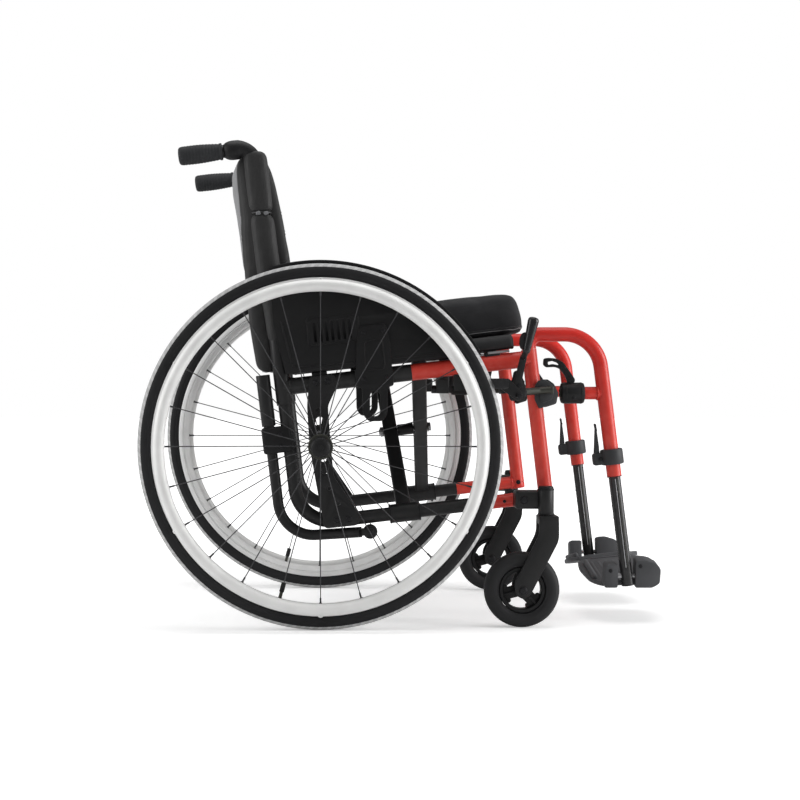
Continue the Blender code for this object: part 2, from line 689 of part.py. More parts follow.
def cross_arm(side, along, name, parent, pivot):
    """An arm that turns on one side's lower rail and carries the other side's seat rail."""
    other = -side
    foot = on_frame(along, -LOWER_RAIL_DROP, side)
    head = on_frame(along, SEAT_RAIL_RISE, other)
    way = (head - foot).normalized()
    turn = Matrix((ALONG, way, ALONG.cross(way))).transposed().to_4x4()
    length = (head - foot).length
    bar = box((foot + head) / 2, (ARM_WIDTH, length, ARM_THICKNESS), turn)
    sleeve_outer = hole_radius(LOWER_RAIL_RADIUS, RUNNING_GAP) + SLEEVE_WALL
    sleeve = cylinder(foot - ALONG * SLEEVE_LENGTH / 2, foot + ALONG * SLEEVE_LENGTH / 2,
                      sleeve_outer, 14)
    rail = seat_rail(other, SEAT_RAIL_REAR, SEAT_RAIL_FRONT)
    made = join(bar, sleeve, rail)
    middle = on_frame(along, SEAT_RAIL_RISE - brace_height() / 2, side)
    middle.y = 0
    pin_hole = cylinder(middle - ALONG * ARM_WIDTH, middle + ALONG * ARM_WIDTH,
                        hole_radius(PIVOT_RADIUS, RUNNING_GAP))
    rail_hole = tube([foot - ALONG * SLEEVE_LENGTH, foot + ALONG * SLEEVE_LENGTH],
                     hole_radius(LOWER_RAIL_RADIUS, RUNNING_GAP))
    return finish(cut(made, pin_hole, rail_hole), f"cross_arm_{name}", BLACK, parent, pivot)


def pivot_bolt(parent):
    middle = on_frame(0, SEAT_RAIL_RISE - brace_height() / 2, RIGHT)
    middle.y = 0
    half = ARM_WIDTH / 2
    rear, front = ARM_A_ALONG - half - SEAT_GAP, ARM_B_ALONG + half + SEAT_GAP
    inner = (ARM_A_ALONG + half + SEAT_GAP, ARM_B_ALONG - half - SEAT_GAP)
    shank = cylinder(middle + ALONG * (rear - 0.003), middle + ALONG * (front + 0.003),
                     PIVOT_RADIUS)
    spacer = cylinder(middle + ALONG * inner[0], middle + ALONG * inner[1], PIVOT_SPACER_RADIUS)
    head = cylinder(middle + ALONG * front, middle + ALONG * (front + PIVOT_HEAD_THICKNESS),
                    PIVOT_HEAD_RADIUS, 6)
    nut = cylinder(middle + ALONG * (rear - PIVOT_HEAD_THICKNESS), middle + ALONG * rear,
                   PIVOT_HEAD_RADIUS * 1.15, 6)
    return finish(join(shank, spacer, head, nut), "cross_pivot_bolt", STEEL, parent,
                  middle + ALONG * rear)


# Casters

def caster_housing(side, name, parent):
    inner = FRAME_HALF_WIDTH + 0.0060
    out = CASTER_PLANE
    barrel = cylinder(place(STEM_FORWARD, HOUSING_BOTTOM, side, out),
                      place(STEM_FORWARD, HOUSING_TOP, side, out), STEM_HOUSING_RADIUS, 14)
    block_rear = STEM_FORWARD - HOUSING_LENGTH
    middle_height = (HOUSING_BLOCK_TOP + HOUSING_BLOCK_BOTTOM) / 2
    height = HOUSING_BLOCK_TOP - HOUSING_BLOCK_BOTTOM
    centre = place((block_rear + STEM_FORWARD) / 2, middle_height, side, (inner + out) / 2)
    block = box(centre, (HOUSING_LENGTH, out - inner, height), None, 0.004)
    bolt_at = block_rear + 0.014
    bolt = cylinder(place(bolt_at, middle_height, side, out - 0.004),
                    place(bolt_at, middle_height, side, out + 0.003), 0.0065, 8)
    made = join(barrel, block, bolt)
    stem_top = HOUSING_TOP - 0.007
    bore = cylinder(place(STEM_FORWARD, HOUSING_BOTTOM - 0.01, side, out),
                    place(STEM_FORWARD, stem_top, side, out),
                    hole_radius(STEM_RADIUS, RUNNING_GAP))
    rail = tube([on_frame(0.28, -LOWER_RAIL_DROP, side), on_frame(0.39, -LOWER_RAIL_DROP, side)],
                hole_radius(LOWER_RAIL_RADIUS, SEAT_GAP))
    upright = front_tube(side, -LOWER_RAIL_DROP - 0.02, 0.0,
                         hole_radius(FRONT_TUBE_RADIUS, SEAT_GAP))
    return finish(cut(made, bore, rail, upright), f"caster_housing_{name}", BLACK, parent)


def caster_fork(side, name, parent):
    """Stem, crown and two legs that sweep back to the wheel's bolt."""
    out = CASTER_PLANE
    front, rear = STEM_FORWARD + FORK_TOP_WIDTH * 0.58, STEM_FORWARD - FORK_TOP_WIDTH * 0.42
    top = HOUSING_BOTTOM - 0.001
    knee = top - FORK_STRAIGHT
    wheel = (STEM_FORWARD - CASTER_TRAIL, CASTER_RADIUS)
    half = FORK_LEG_WIDTH / 2
    outline = [(rear, top), (rear, knee + 0.004), (wheel[0] - half, wheel[1] + 0.012),
               (wheel[0] - half * 0.80, wheel[1] - half * 0.55), (wheel[0], wheel[1] - half),
               (wheel[0] + half * 0.75, wheel[1] - half * 0.60), (front, knee - 0.006),
               (front, top)]
    gap = CASTER_WIDTH / 2 + 0.0025
    legs = [flat(outline, [], side, out + gap, FORK_LEG_THICKNESS),
            flat(outline, [], side, out - gap - FORK_LEG_THICKNESS, FORK_LEG_THICKNESS)]
    crown_centre = place((front + rear) / 2, top - FORK_CROWN_HEIGHT / 2, side, out)
    crown = box(crown_centre, (front - rear, 2 * gap + 2 * FORK_LEG_THICKNESS - 0.001,
                               FORK_CROWN_HEIGHT))
    stem = cylinder(place(STEM_FORWARD, top - 0.004, side, out),
                    place(STEM_FORWARD, HOUSING_TOP - 0.009, side, out), STEM_RADIUS)
    reach = gap + FORK_LEG_THICKNESS
    pin = cylinder(place(*wheel, side, out - reach - 0.002),
                   place(*wheel, side, out + reach + 0.002), CASTER_AXLE_RADIUS)
    heads = [cylinder(place(*wheel, side, out + sign * (reach - 0.001)),
                      place(*wheel, side, out + sign * (reach + 0.004)), 0.0075, 8)
             for sign in (-1, 1)]
    made = join(legs[0], legs[1], crown, stem, pin, *heads)
    return finish(made, f"caster_fork_{name}", BLACK, parent)


def caster_tyre(side, name, parent):
    half = CASTER_WIDTH / 2
    inner = CASTER_HUB_RADIUS + SEAT_GAP
    section = [(CASTER_RADIUS - 0.014, half), (CASTER_RADIUS - 0.004, half * 0.78),
               (CASTER_RADIUS, half * 0.38), (CASTER_RADIUS, -half * 0.38),
               (CASTER_RADIUS - 0.004, -half * 0.78), (CASTER_RADIUS - 0.014, -half),
               (inner, -half * 0.8), (inner, half * 0.8)]
    centre = place(STEM_FORWARD - CASTER_TRAIL, CASTER_RADIUS, side, CASTER_PLANE)
    made = turned(section, centre, side, CASTER_STEPS, closed=True)
    return finish(made, f"caster_tyre_{name}", TYRE_RUBBER, parent)


def caster_hub(side, name, parent):
    """A ring and a boss joined by broad spokes."""
    half = CASTER_WIDTH * 0.40
    centre = place(STEM_FORWARD - CASTER_TRAIL, CASTER_RADIUS, side, CASTER_PLANE)
    inner = CASTER_HUB_RADIUS - CASTER_HUB_WALL
    ring = turned([(CASTER_HUB_RADIUS, half), (CASTER_HUB_RADIUS, -half), (inner, -half),
                   (inner, half)], centre, side, CASTER_STEPS, closed=True)
    reach = Vector((0, CASTER_WIDTH / 2 + 0.002, 0))
    boss = cylinder(centre - reach, centre + reach, CASTER_BOSS_RADIUS)
    spokes = []
    length = inner + 0.003
    for number in range(CASTER_SPOKES):
        angle = math.tau * number / CASTER_SPOKES + math.radians(75)
        way = Vector((math.cos(angle), 0, math.sin(angle)))
        spokes.append(box(centre + way * length / 2, (length, half, CASTER_SPOKE_WIDTH),
                          Matrix.Rotation(-angle, 4, "Y")))
    made = join(ring, boss, *spokes)
    bore = cylinder(centre - reach * 2, centre + reach * 2,
                    hole_radius(CASTER_AXLE_RADIUS, RUNNING_GAP))
    return finish(cut(made, bore), f"caster_hub_{name}", PLASTIC, parent)


# Footrests

def hanger_path(side):
    foot = on_frame(FRONT_TUBE_ALONG, FRONT_TUBE_TOP_RISE + SEAT_GAP, side)
    rise = FRONT_TUBE_TOP_RISE + (HANGER_TOP_HEIGHT - foot.z) / RISE.z
    rear_corner = on_frame(FRONT_TUBE_ALONG, rise, side)
    front_corner = down_tube_at(HANGER_TOP_HEIGHT, side)
    end = down_tube_at(HANGER_END_HEIGHT, side)
    rear_bend = HANGER_REAR_BEND * (rear_corner - foot).length
    return bend([foot, rear_corner, front_corner, end], [rear_bend, HANGER_FRONT_BEND])


def hanger(side, name, parent):
    pipe = tube(hanger_path(side), HANGER_RADIUS)
    pin = cylinder(on_frame(FRONT_TUBE_ALONG, FRONT_TUBE_TOP_RISE - HANGER_PIN_LENGTH, side),
                   on_frame(FRONT_TUBE_ALONG, FRONT_TUBE_TOP_RISE + 0.006, side),
                   HANGER_PIN_RADIUS)
    stub_front = down_tube_at(STUB_HEIGHT, side)
    stub_rear = place(LATCH_REAR + 0.012, STUB_HEIGHT, side, FRAME_HALF_WIDTH)
    stub = tube([stub_rear, stub_front], HANGER_RADIUS * 0.88)
    made = join(pipe, pin, stub)
    bore_top = down_tube_at(HANGER_END_HEIGHT + EXTENSION_INSIDE + EXTENSION_TRAVEL + 0.005, side)
    bore = cylinder(bore_top, down_tube_at(HANGER_END_HEIGHT - 0.01, side),
                    hole_radius(EXTENSION_RADIUS, RUNNING_GAP))
    return finish(cut(made, bore), f"footrest_hanger_{name}", RED, parent)


def latch_block(side, name, parent):
    """The barrel on the hanger's stub, with the tongue that reaches for the front tube."""
    block = cylinder(place(LATCH_REAR, STUB_HEIGHT, side, FRAME_HALF_WIDTH),
                     place(LATCH_FRONT, STUB_HEIGHT, side, FRAME_HALF_WIDTH), LATCH_RADIUS, 16)
    clamp_front = brake_clamp_front(side).x - AXLE_FORWARD
    tongue_rear = clamp_front + 0.0030
    tongue = box(place((tongue_rear + LATCH_REAR + 0.004) / 2, STUB_HEIGHT, side,
                       FRAME_HALF_WIDTH), (LATCH_REAR + 0.004 - tongue_rear, 0.012, 0.014))
    made = join(block, tongue)
    stub = tube([place(LATCH_REAR + 0.012 - SEAT_GAP, STUB_HEIGHT, side, FRAME_HALF_WIDTH),
                 place(LATCH_FRONT + 0.02, STUB_HEIGHT, side, FRAME_HALF_WIDTH)],
                hole_radius(HANGER_RADIUS * 0.88, SEAT_GAP))
    slot = box(place(LATCH_REAR + 0.016, STUB_HEIGHT + LATCH_RADIUS, side,
                     FRAME_HALF_WIDTH), (0.014, 0.0088, 0.016))
    return finish(cut(made, stub, slot), f"latch_block_{name}", PLASTIC, parent)


def latch_lever_pivot(side):
    return place(LATCH_REAR + 0.016, STUB_HEIGHT + LATCH_RADIUS - 0.001, side,
                 FRAME_HALF_WIDTH)


def latch_lever(side, name, parent):
    """The looped release lever on top of the latch."""
    x, z = LATCH_REAR + 0.016, STUB_HEIGHT + LATCH_RADIUS
    outline = [(x - 0.0032, z - 0.0050), (x + 0.0032, z - 0.0050), (x + 0.0050, z + 0.004),
               (x - 0.004, z + 0.022), (x - 0.014, z + 0.034), (x - 0.026, z + 0.041),
               (x - 0.040, z + 0.0415), (x - 0.0415, z + 0.036), (x - 0.036, z + 0.031),
               (x - 0.022, z + 0.028), (x - 0.013, z + 0.020), (x - 0.006, z + 0.007)]
    loop = [(x - 0.037, z + 0.0375), (x - 0.027, z + 0.0365), (x - 0.018, z + 0.0300),
            (x - 0.024, z + 0.0315), (x - 0.034, z + 0.0340)]
    made = flat(outline, [loop], side, FRAME_HALF_WIDTH - 0.004, 0.008)
    return finish(made, f"latch_lever_{name}", PLASTIC, parent)


def extension_tube(side, name, parent):
    top = down_tube_at(HANGER_END_HEIGHT + EXTENSION_INSIDE, side)
    made = tube([top, down_tube_at(DOWN_TUBE_FOOT[1], side)], EXTENSION_RADIUS)
    hinge = foot_hinge(side)
    reach = Vector((0.03, 0, 0))
    hole = cylinder(hinge - reach, hinge + reach, hole_radius(FOOT_PIN_RADIUS, RUNNING_GAP))
    return finish(cut(made, hole), f"extension_tube_{name}", BLACK, parent)


def extension_clamp(side, name, parent):
    half = CLAMP_HEIGHT / 2
    low = down_tube_at(CLAMP_CENTRE_HEIGHT - half, side)
    high = down_tube_at(CLAMP_CENTRE_HEIGHT + half, side)
    bore_radius = hole_radius(HANGER_RADIUS, SEAT_GAP)
    ring = cylinder(low, high, bore_radius + CLAMP_WALL, 14)
    way = (high - low).normalized()
    across = Vector((way.z, 0, -way.x))
    lug_centre = (low + high) / 2 - across * (HANGER_RADIUS + CLAMP_WALL)
    tilt = Matrix((across, Vector((0, 1, 0)), way)).transposed().to_4x4()
    lug = box(lug_centre, (0.020, 0.016, CLAMP_HEIGHT * 0.85), tilt, 0.003)
    lever_foot = lug_centre - across * 0.0065
    lever = box(lever_foot + way * CLAMP_LEVER_LENGTH / 2, (0.0045, 0.011, CLAMP_LEVER_LENGTH),
                tilt)
    made = join(ring, lug, lever)
    bore = tube([down_tube_at(HANGER_END_HEIGHT, side),
                 down_tube_at(CLAMP_CENTRE_HEIGHT + 0.05, side)], bore_radius)
    return finish(cut(made, bore), f"extension_clamp_{name}", PLASTIC, parent)


def foot_hinge(side):
    return down_tube_at(FOOT_HINGE_HEIGHT, side)


def footplate(side, name, parent):
    """A plate that hangs inboard from two knuckles, one behind its tube and one ahead of it."""
    hinge = foot_hinge(side)
    top_face = hinge.z - EXTENSION_RADIUS - 0.0015
    bottom = top_face - FOOTPLATE_THICKNESS
    outer = FRAME_HALF_WIDTH - EXTENSION_RADIUS - 0.0005
    inner = FOOTPLATE_INNER_GAP
    rear, front = FOOTPLATE_REAR, FOOTPLATE_FRONT
    outline = [(KNUCKLE_REAR, outer), (rear, outer - 0.024), (rear, inner + 0.012),
               (rear + 0.010, inner), (front - 0.036, inner), (front - 0.014, inner + 0.024),
               (front - 0.003, inner + 0.070), (front, outer - 0.030), (front - 0.006, outer)]
    data = bpy.data.curves.new("plate", "CURVE")
    data.dimensions = "2D"
    data.fill_mode = "BOTH"
    data.extrude = FOOTPLATE_THICKNESS / 2
    spline = data.splines.new("POLY")
    spline.points.add(len(outline) - 1)
    for target, (forward, out) in zip(spline.points, outline):
        target.co = (AXLE_FORWARD + forward, side * out, 0, 1)
    spline.use_cyclic_u = True
    plate = link_new("plate", data)
    plate.location.z = (top_face + bottom) / 2
    plate = bake(plate)
    heel = box(place(rear + 0.003, top_face + 0.004, side, (outer + inner) / 2 - 0.006),
               (0.006, outer - inner - 0.040, 0.012))
    tube_half = EXTENSION_RADIUS + 0.0012
    knuckle_out = FRAME_HALF_WIDTH + KNUCKLE_OUTER
    hinge_forward = hinge.x - AXLE_FORWARD
    slack = 0.0022
    lean = (DOWN_TUBE_FOOT[0] - DOWN_TUBE_TOP[0]) / (DOWN_TUBE_TOP[1] - DOWN_TUBE_FOOT[1])
    swing = math.hypot(FOOT_WALL_TOP - hinge.z, FRAME_HALF_WIDTH - outer + 0.007)
    rear_face = hinge_forward - tube_half - 0.001 - swing * lean
    rear_block = flat([(KNUCKLE_REAR, bottom), (rear_face, bottom), (rear_face, FOOT_WALL_TOP),
                       (KNUCKLE_REAR + 0.003, FOOT_WALL_TOP), (KNUCKLE_REAR, FOOT_WALL_TOP - 0.004)],
                      [], side, outer - 0.007, knuckle_out - outer + 0.007)
    ear_rear = hinge_forward + tube_half + slack
    front_block = flat([(ear_rear, bottom), (front - 0.006, bottom), (front - 0.003, top_face),
                        (front - 0.010, 0.086), (ear_rear + 0.026, FOOT_EAR_TOP - 0.012),
                        (ear_rear + 0.014, FOOT_EAR_TOP), (ear_rear, FOOT_EAR_TOP)],
                       [], side, outer - 0.007, knuckle_out - outer + 0.007)
    pin = cylinder(Vector((AXLE_FORWARD + rear_face - 0.006, hinge.y, hinge.z)),
                   Vector((AXLE_FORWARD + ear_rear + 0.006, hinge.y, hinge.z)), FOOT_PIN_RADIUS)
    made = join(plate, heel, rear_block, front_block, pin)
    tilt = Matrix.Rotation(-side * FOOTPLATE_RISE, 4, "X")
    made.data.transform(Matrix.Translation(hinge) @ tilt @ Matrix.Translation(-hinge))
    return finish(made, f"footplate_{name}", GREY_PLASTIC, parent)


# Parking brake

def brake_clamp_front(side):
    return on_frame(FRONT_TUBE_ALONG + BRAKE_CLAMP_REACH, BRAKE_CLAMP_RISE, side)


def brake_bracket(side, name, parent):
    """A clamp on the front tube, a bar that runs back and out from it, and the pivots' cheek."""
    half = BRAKE_CLAMP_HEIGHT / 2
    ring_radius = hole_radius(FRONT_TUBE_RADIUS, SEAT_GAP) + BRAKE_CLAMP_WALL
    ring = cylinder(on_frame(FRONT_TUBE_ALONG, BRAKE_CLAMP_RISE - half, side),
                    on_frame(FRONT_TUBE_ALONG, BRAKE_CLAMP_RISE + half, side), ring_radius)
    outboard = frame_box((FRONT_TUBE_ALONG - 2 * ring_radius, FRONT_TUBE_ALONG + 2 * ring_radius),
                         (BRAKE_CLAMP_RISE - 2 * half, BRAKE_CLAMP_RISE + 2 * half), side,
                         2 * ring_radius, ring_radius + 0.001)
    ring = cut(ring, outboard)
    reach = BRAKE_CLAMP_REACH
    corners = [(0.0035, half * 0.28), (0.0141, half * 0.95), (reach - 0.016, half + 0.0012),
               (reach - 0.0054, 0.0125), (reach, -0.0035), (reach - 0.0056, -half),
               (0.0045, -half - 0.007)]
    spots = [on_frame(FRONT_TUBE_ALONG + ahead, BRAKE_CLAMP_RISE + up, side)
             for ahead, up in corners]
    block = flat([(spot.x - AXLE_FORWARD, spot.z) for spot in spots], [], side,
                 FRAME_HALF_WIDTH - BRAKE_CLAMP_WIDTH / 2, BRAKE_CLAMP_WIDTH)
    cheek_outer = BRAKE_LAYER - SEAT_GAP
    cheek_inner = cheek_outer - BRAKE_CHEEK
    bar_front = Vector((BRAKE_BOLT[0], BRAKE_BOLT[1]))
    bar_rear = Vector((BRAKE_PIVOT[0] - 0.008, (BRAKE_PIVOT[1] + SHOE_PIVOT[1]) / 2))
    start = place(*bar_front, side, FRAME_HALF_WIDTH + BRAKE_CLAMP_WIDTH / 2 + 0.002)
    end = place(*bar_rear, side, cheek_inner - BRAKE_BAR / 2 + 0.001)
    elbow = place(bar_front.x - 0.012, bar_front.y, side, FRAME_HALF_WIDTH + ring_radius + 0.003)
    way = (end - elbow).normalized()
    turn = way.to_track_quat("X", "Z").to_matrix().to_4x4()
    bar = box((elbow + end) / 2, ((end - elbow).length + 0.006, BRAKE_BAR, 0.010), turn)
    step = start - elbow
    foot_turn = step.to_track_quat("X", "Z").to_matrix().to_4x4()
    foot = box((start + elbow) / 2, (step.length + 0.016, BRAKE_BAR, 0.012), foot_turn)
    bolt = cylinder(start, start + Vector((0, side * 0.008, 0)), 0.005, 6)
    x, z = BRAKE_PIVOT
    shoe_x, shoe_z = SHOE_PIVOT
    cheek = flat([(shoe_x - 0.012, shoe_z - 0.009), (shoe_x + 0.012, shoe_z - 0.009),
                  (x + 0.013, z - 0.004), (x + 0.008, z + 0.010), (x - 0.008, z + 0.010),
                  (shoe_x - 0.014, shoe_z + 0.010)], [], side, cheek_inner, BRAKE_CHEEK)
    lever_outer = BRAKE_LAYER + BRAKE_LEVER_THICKNESS
    pins = [cylinder(place(*BRAKE_PIVOT, side, cheek_outer - 0.002),
                     place(*BRAKE_PIVOT, side, lever_outer + 0.0002), BRAKE_PIN_RADIUS),
            cylinder(place(*SHOE_PIVOT, side, cheek_outer - 0.002),
                     place(*SHOE_PIVOT, side, WHEEL_PLANE), BRAKE_PIN_RADIUS)]
    made = join(ring, block, foot, bar, bolt, cheek, *pins)
    tube_cut = front_tube(side, -0.02, FRONT_TUBE_TOP_RISE,
                          hole_radius(FRONT_TUBE_RADIUS, SEAT_GAP))
    return finish(cut(made, tube_cut), f"brake_bracket_{name}", BLACK, parent)


def brake_lever(side, name, parent):
    """A flat bar from the pivot, with a round grip set further out from the frame."""
    (x, z), (top_x, top_z) = BRAKE_PIVOT, BRAKE_GRIP_TOP
    way = Vector((top_x - x, top_z - z)).normalized()
    across = Vector((way.y, -way.x))
    foot, top = Vector((x, z)), Vector((top_x, top_z))
    grip_foot = top - way * BRAKE_GRIP_LENGTH
    outline = [foot - across * 0.0085 - way * 0.002, foot - way * 0.0085,
               foot + across * 0.0085 - way * 0.002, foot + across * 0.006 + way * 0.012,
               grip_foot + across * 0.0055 - way * 0.003, grip_foot - across * 0.0055 - way * 0.003,
               foot - across * 0.006 + way * 0.012]
    bar = flat([tuple(point) for point in outline], [], side, BRAKE_LAYER, BRAKE_LEVER_THICKNESS)
    middle = BRAKE_LAYER + BRAKE_LEVER_THICKNESS / 2
    jog = cylinder(place(*(grip_foot - way * 0.009), side, middle - 0.001),
                   place(*(grip_foot + way * 0.004), side, BRAKE_GRIP_PLANE), 0.0048, 10)
    waist = top - way * 0.007
    grip = cylinder(place(*grip_foot, side, BRAKE_GRIP_PLANE),
                    place(*waist, side, BRAKE_GRIP_PLANE),
                    BRAKE_GRIP_RADIUS * 0.66, 12, BRAKE_GRIP_RADIUS)
    cap = cylinder(place(*(waist - way * 0.001), side, BRAKE_GRIP_PLANE),
                   place(*top, side, BRAKE_GRIP_PLANE), BRAKE_GRIP_RADIUS, 12,
                   BRAKE_GRIP_RADIUS * 0.55)
    made = join(bar, jog, grip, cap)
    hole = cylinder(place(x, z, side, BRAKE_LAYER - 0.01), place(x, z, side, BRAKE_LAYER + 0.02),
                    hole_radius(BRAKE_PIN_RADIUS, RUNNING_GAP))
    return finish(cut(made, hole), f"brake_lever_{name}", PLASTIC, parent)


def brake_shoe(side, name, parent):
    """The arm below the lever, with the pad that meets the tyre's tread."""
    inner = BRAKE_LAYER + BRAKE_LEVER_THICKNESS + SEAT_GAP
    x, z = SHOE_PIVOT
    contact = WHEEL_RADIUS + SHOE_GAP
    middle = SHOE_PIVOT[1] + SHOE_RISE
    low, high = middle - SHOE_HEIGHT / 2, middle + SHOE_HEIGHT / 2
    face = [(math.sqrt(contact ** 2 - (height - AXLE_HEIGHT) ** 2), height)
            for height in (high, middle, low)]
    tail = face[1][0] + SHOE_LENGTH
    pad = flat([*face, (tail - 0.002, low), (tail, low + 0.003), (tail, high)], [], side, inner,
               WHEEL_PLANE + TYRE_WIDTH / 2 - inner)
    arm = flat([(x - 0.008, z - 0.004), (x, z - 0.0085), (x + 0.008, z - 0.003),
                (x + 0.006, z + 0.006), (tail + 0.004, high), (tail - 0.010, high),
                (tail - 0.012, low + 0.002)], [], side, inner, 0.0055)
    made = join(arm, pad)
    hole = cylinder(place(x, z, side, inner - 0.01), place(x, z, side, inner + 0.03),
                    hole_radius(BRAKE_PIN_RADIUS, RUNNING_GAP))
    return finish(cut(made, hole), f"brake_shoe_{name}", BLACK, parent)


# Back

def handle_path(side):
    """From the post's top up to the elbow and back along the push handle."""
    start = on_frame(post_along(POST_TOP_RISE + SEAT_GAP), POST_TOP_RISE + SEAT_GAP, side)
    corner = post_at_height(HANDLE_CORNER_HEIGHT, side)
    rear = place(HANDLE_REAR + 0.004, 0, side, FRAME_HALF_WIDTH)
    rear.z = corner.z - math.tan(HANDLE_DROP) * (corner.x - rear.x)
    return bend([start, corner, rear], [HANDLE_BEND])


def back_tube(side, name, parent):
    pipe = tube(handle_path(side), BACK_TUBE_RADIUS)
    corner = post_at_height(HANDLE_CORNER_HEIGHT, side)
    back = Vector((-math.cos(HANDLE_DROP), 0, -math.sin(HANDLE_DROP)))
    middle = corner + back * KNUCKLE_BEHIND
    shoulder, end = back * KNUCKLE_LENGTH / 6, back * KNUCKLE_LENGTH / 2
    neck = BACK_TUBE_RADIUS + 0.0008
    front = cylinder(middle - end, middle - shoulder, neck, 12, KNUCKLE_RADIUS)
    waist = cylinder(middle - shoulder, middle + shoulder, KNUCKLE_RADIUS, 12)
    rear = cylinder(middle + shoulder, middle + end, KNUCKLE_RADIUS, 12, neck)
    return finish(join(pipe, front, waist, rear), f"back_tube_{name}", BLACK, parent)


def push_grip(side, name, parent):
    corner = post_at_height(HANDLE_CORNER_HEIGHT, side)
    back = Vector((-math.cos(HANDLE_DROP), 0, -math.sin(HANDLE_DROP)))
    rear = corner + back * ((corner.x - AXLE_FORWARD - HANDLE_REAR) / math.cos(HANDLE_DROP))
    front = rear - back * GRIP_LENGTH
    body = cylinder(front, rear + (front - rear) * 0.06, GRIP_FRONT_RADIUS, 12, GRIP_REAR_RADIUS)
    end = cylinder(rear + (front - rear) * 0.061, rear, GRIP_REAR_RADIUS, 12,
                   GRIP_REAR_RADIUS * 0.72)
    lip = cylinder(front, front - (front - rear) * 0.07, GRIP_FRONT_RADIUS + 0.002, 12)
    made = join(body, end, lip)
    inside = tube([front - back * 0.01, rear - back * 0.0037],
                  hole_radius(BACK_TUBE_RADIUS, SEAT_GAP))
    return finish(cut(made, inside), f"push_grip_{name}", RUBBER, parent)


def back_upholstery(parent):
    """Two sleeves round the back tubes and the padded panel that bows back between them."""
    pieces = []
    for side in (RIGHT, LEFT):
        low = post_at_height(BACK_PAD_FOOT, side)
        high = post_at_height(BACK_TOP_HEIGHT - BACK_SLEEVE_END, side)
        way = (high - low).normalized()
        across = Vector((way.z, 0, -way.x))
        tilt = Matrix((across, Vector((0, 1, 0)), way)).transposed().to_4x4()
        width = 2 * (BACK_TUBE_RADIUS + BACK_SLEEVE_WALL)
        size = (2 * BACK_SLEEVE_REACH, width, (high - low).length)
        pieces.append(box((low + high) / 2, size, tilt, 0.006))
    panel = back_panel()
    made = join(panel, *pieces)
    bores = [tube(handle_path(side), hole_radius(BACK_TUBE_RADIUS, CLOTH_GAP))
             for side in (RIGHT, LEFT)]
    post_hole = [cylinder(on_frame(post_along(0), 0, side),
                          on_frame(post_along(POST_TOP_RISE + 0.001), POST_TOP_RISE + 0.001, side),
                          hole_radius(POST_RADIUS + 0.0012, CLOTH_GAP))
                 for side in (RIGHT, LEFT)]
    made = cut(made, *bores, *post_hole)
    return finish(made, "back_upholstery", FABRIC, parent)


def back_panel():
    """A padded panel between the tubes over a flap that hangs behind them, in one closed form."""
    columns = 9
    top, seam, foot, flap = BACK_TOP_HEIGHT, BACK_SEAM_HEIGHT, BACK_PAD_FOOT, BACK_FLAP_FOOT
    rows = [(flap, 0.0, 1.0, 0.84), ((flap + foot) / 2, 0.0, 1.0, 1.0), (foot - 0.012, 0.25, 0.7, 1.0),
            (foot + 0.008, 1.0, 0.26, 1.0), ((foot + seam) / 2, 0.96, 0.2, 1.0),
            (seam, 0.90, 0.3, 0.92), ((top + seam) / 2, 0.80, 0.2, 1.0),
            (top - 0.018, 0.70, 0.26, 0.72), (top, 0.55, 0.3, 0.42)]
    half = FRAME_HALF_WIDTH - 0.004
    work = bmesh.new()
    grid = {}
    for front in (True, False):
        for row, (height, forward_share, sag_share, rear_share) in enumerate(rows):
            for column in range(columns):
                across = 2 * column / (columns - 1) - 1
                bow = 1 - across * across
                line = post_at_height(height, RIGHT).x
                edge = BACK_PAD_FORWARD * forward_share * abs(across) ** 1.5
                face = edge - BACK_SAG * sag_share * bow
                cover = -(BACK_REAR_EDGE + BACK_REAR_BOW * bow) * rear_share
                x = line + (face if front else cover)
                grid[front, row, column] = work.verts.new((x, half * across, height))
    last_row, last_column = len(rows) - 1, columns - 1
    for row in range(last_row):
        for column in range(last_column):
            for front in (True, False):
                corners = [grid[front, row, column], grid[front, row, column + 1],
                           grid[front, row + 1, column + 1], grid[front, row + 1, column]]
                work.faces.new(corners if front else corners[::-1])
        for column in (0, last_column):
            work.faces.new([grid[True, row, column], grid[True, row + 1, column],
                            grid[False, row + 1, column], grid[False, row, column]])
    for column in range(last_column):
        for row in (0, last_row):
            work.faces.new([grid[True, row, column], grid[True, row, column + 1],
                            grid[False, row, column + 1], grid[False, row, column]])
    mesh = bpy.data.meshes.new("panel")
    work.to_mesh(mesh)
    work.free()
    return bake(link_new("panel", mesh))


# Side guard

def guard_outline():
    """The guard's edge: up the back post, over the wheel on an arc, and back above the seat tube."""
    start = math.atan2(0.151, 0.269)
    end = math.atan2(0.295, -0.086)
    arc = ring_points((0, AXLE_HEIGHT), GUARD_ARC_RADIUS, 14, start, end - start, closed=False)
    return arc + [(-0.060, 0.500), (-0.038, 0.424), (0.216, 0.4465)]


def side_guard(side, name, parent):
    inner = FRAME_HALF_WIDTH + GUARD_INNER_FACE
    vents = []
    for number in range(GUARD_VENTS):
        x = -0.010 + 0.0098 * number
        low = 0.473 + 0.115 * x
        vents.append([(x, low), (x + 0.0046, low), (x + 0.0012, low + 0.034),
                      (x - 0.0034, low + 0.034)])
    panel = flat(guard_outline(), vents, side, inner, GUARD_THICKNESS)
    start = math.atan2(0.158, 0.2655)
    end = math.atan2(0.297, -0.078)
    outer = ring_points((0, AXLE_HEIGHT), GUARD_ARC_RADIUS, 14, start, end - start, closed=False)
    below = ring_points((0, AXLE_HEIGHT), GUARD_ARC_RADIUS - GUARD_LIP_THICKNESS, 14, end,
                        start - end, closed=False)
    lip = flat(outer + below, [], side, inner + GUARD_THICKNESS / 2, GUARD_LIP_WIDTH)
    return finish(join(panel, lip), f"side_guard_{name}", PLASTIC, parent)


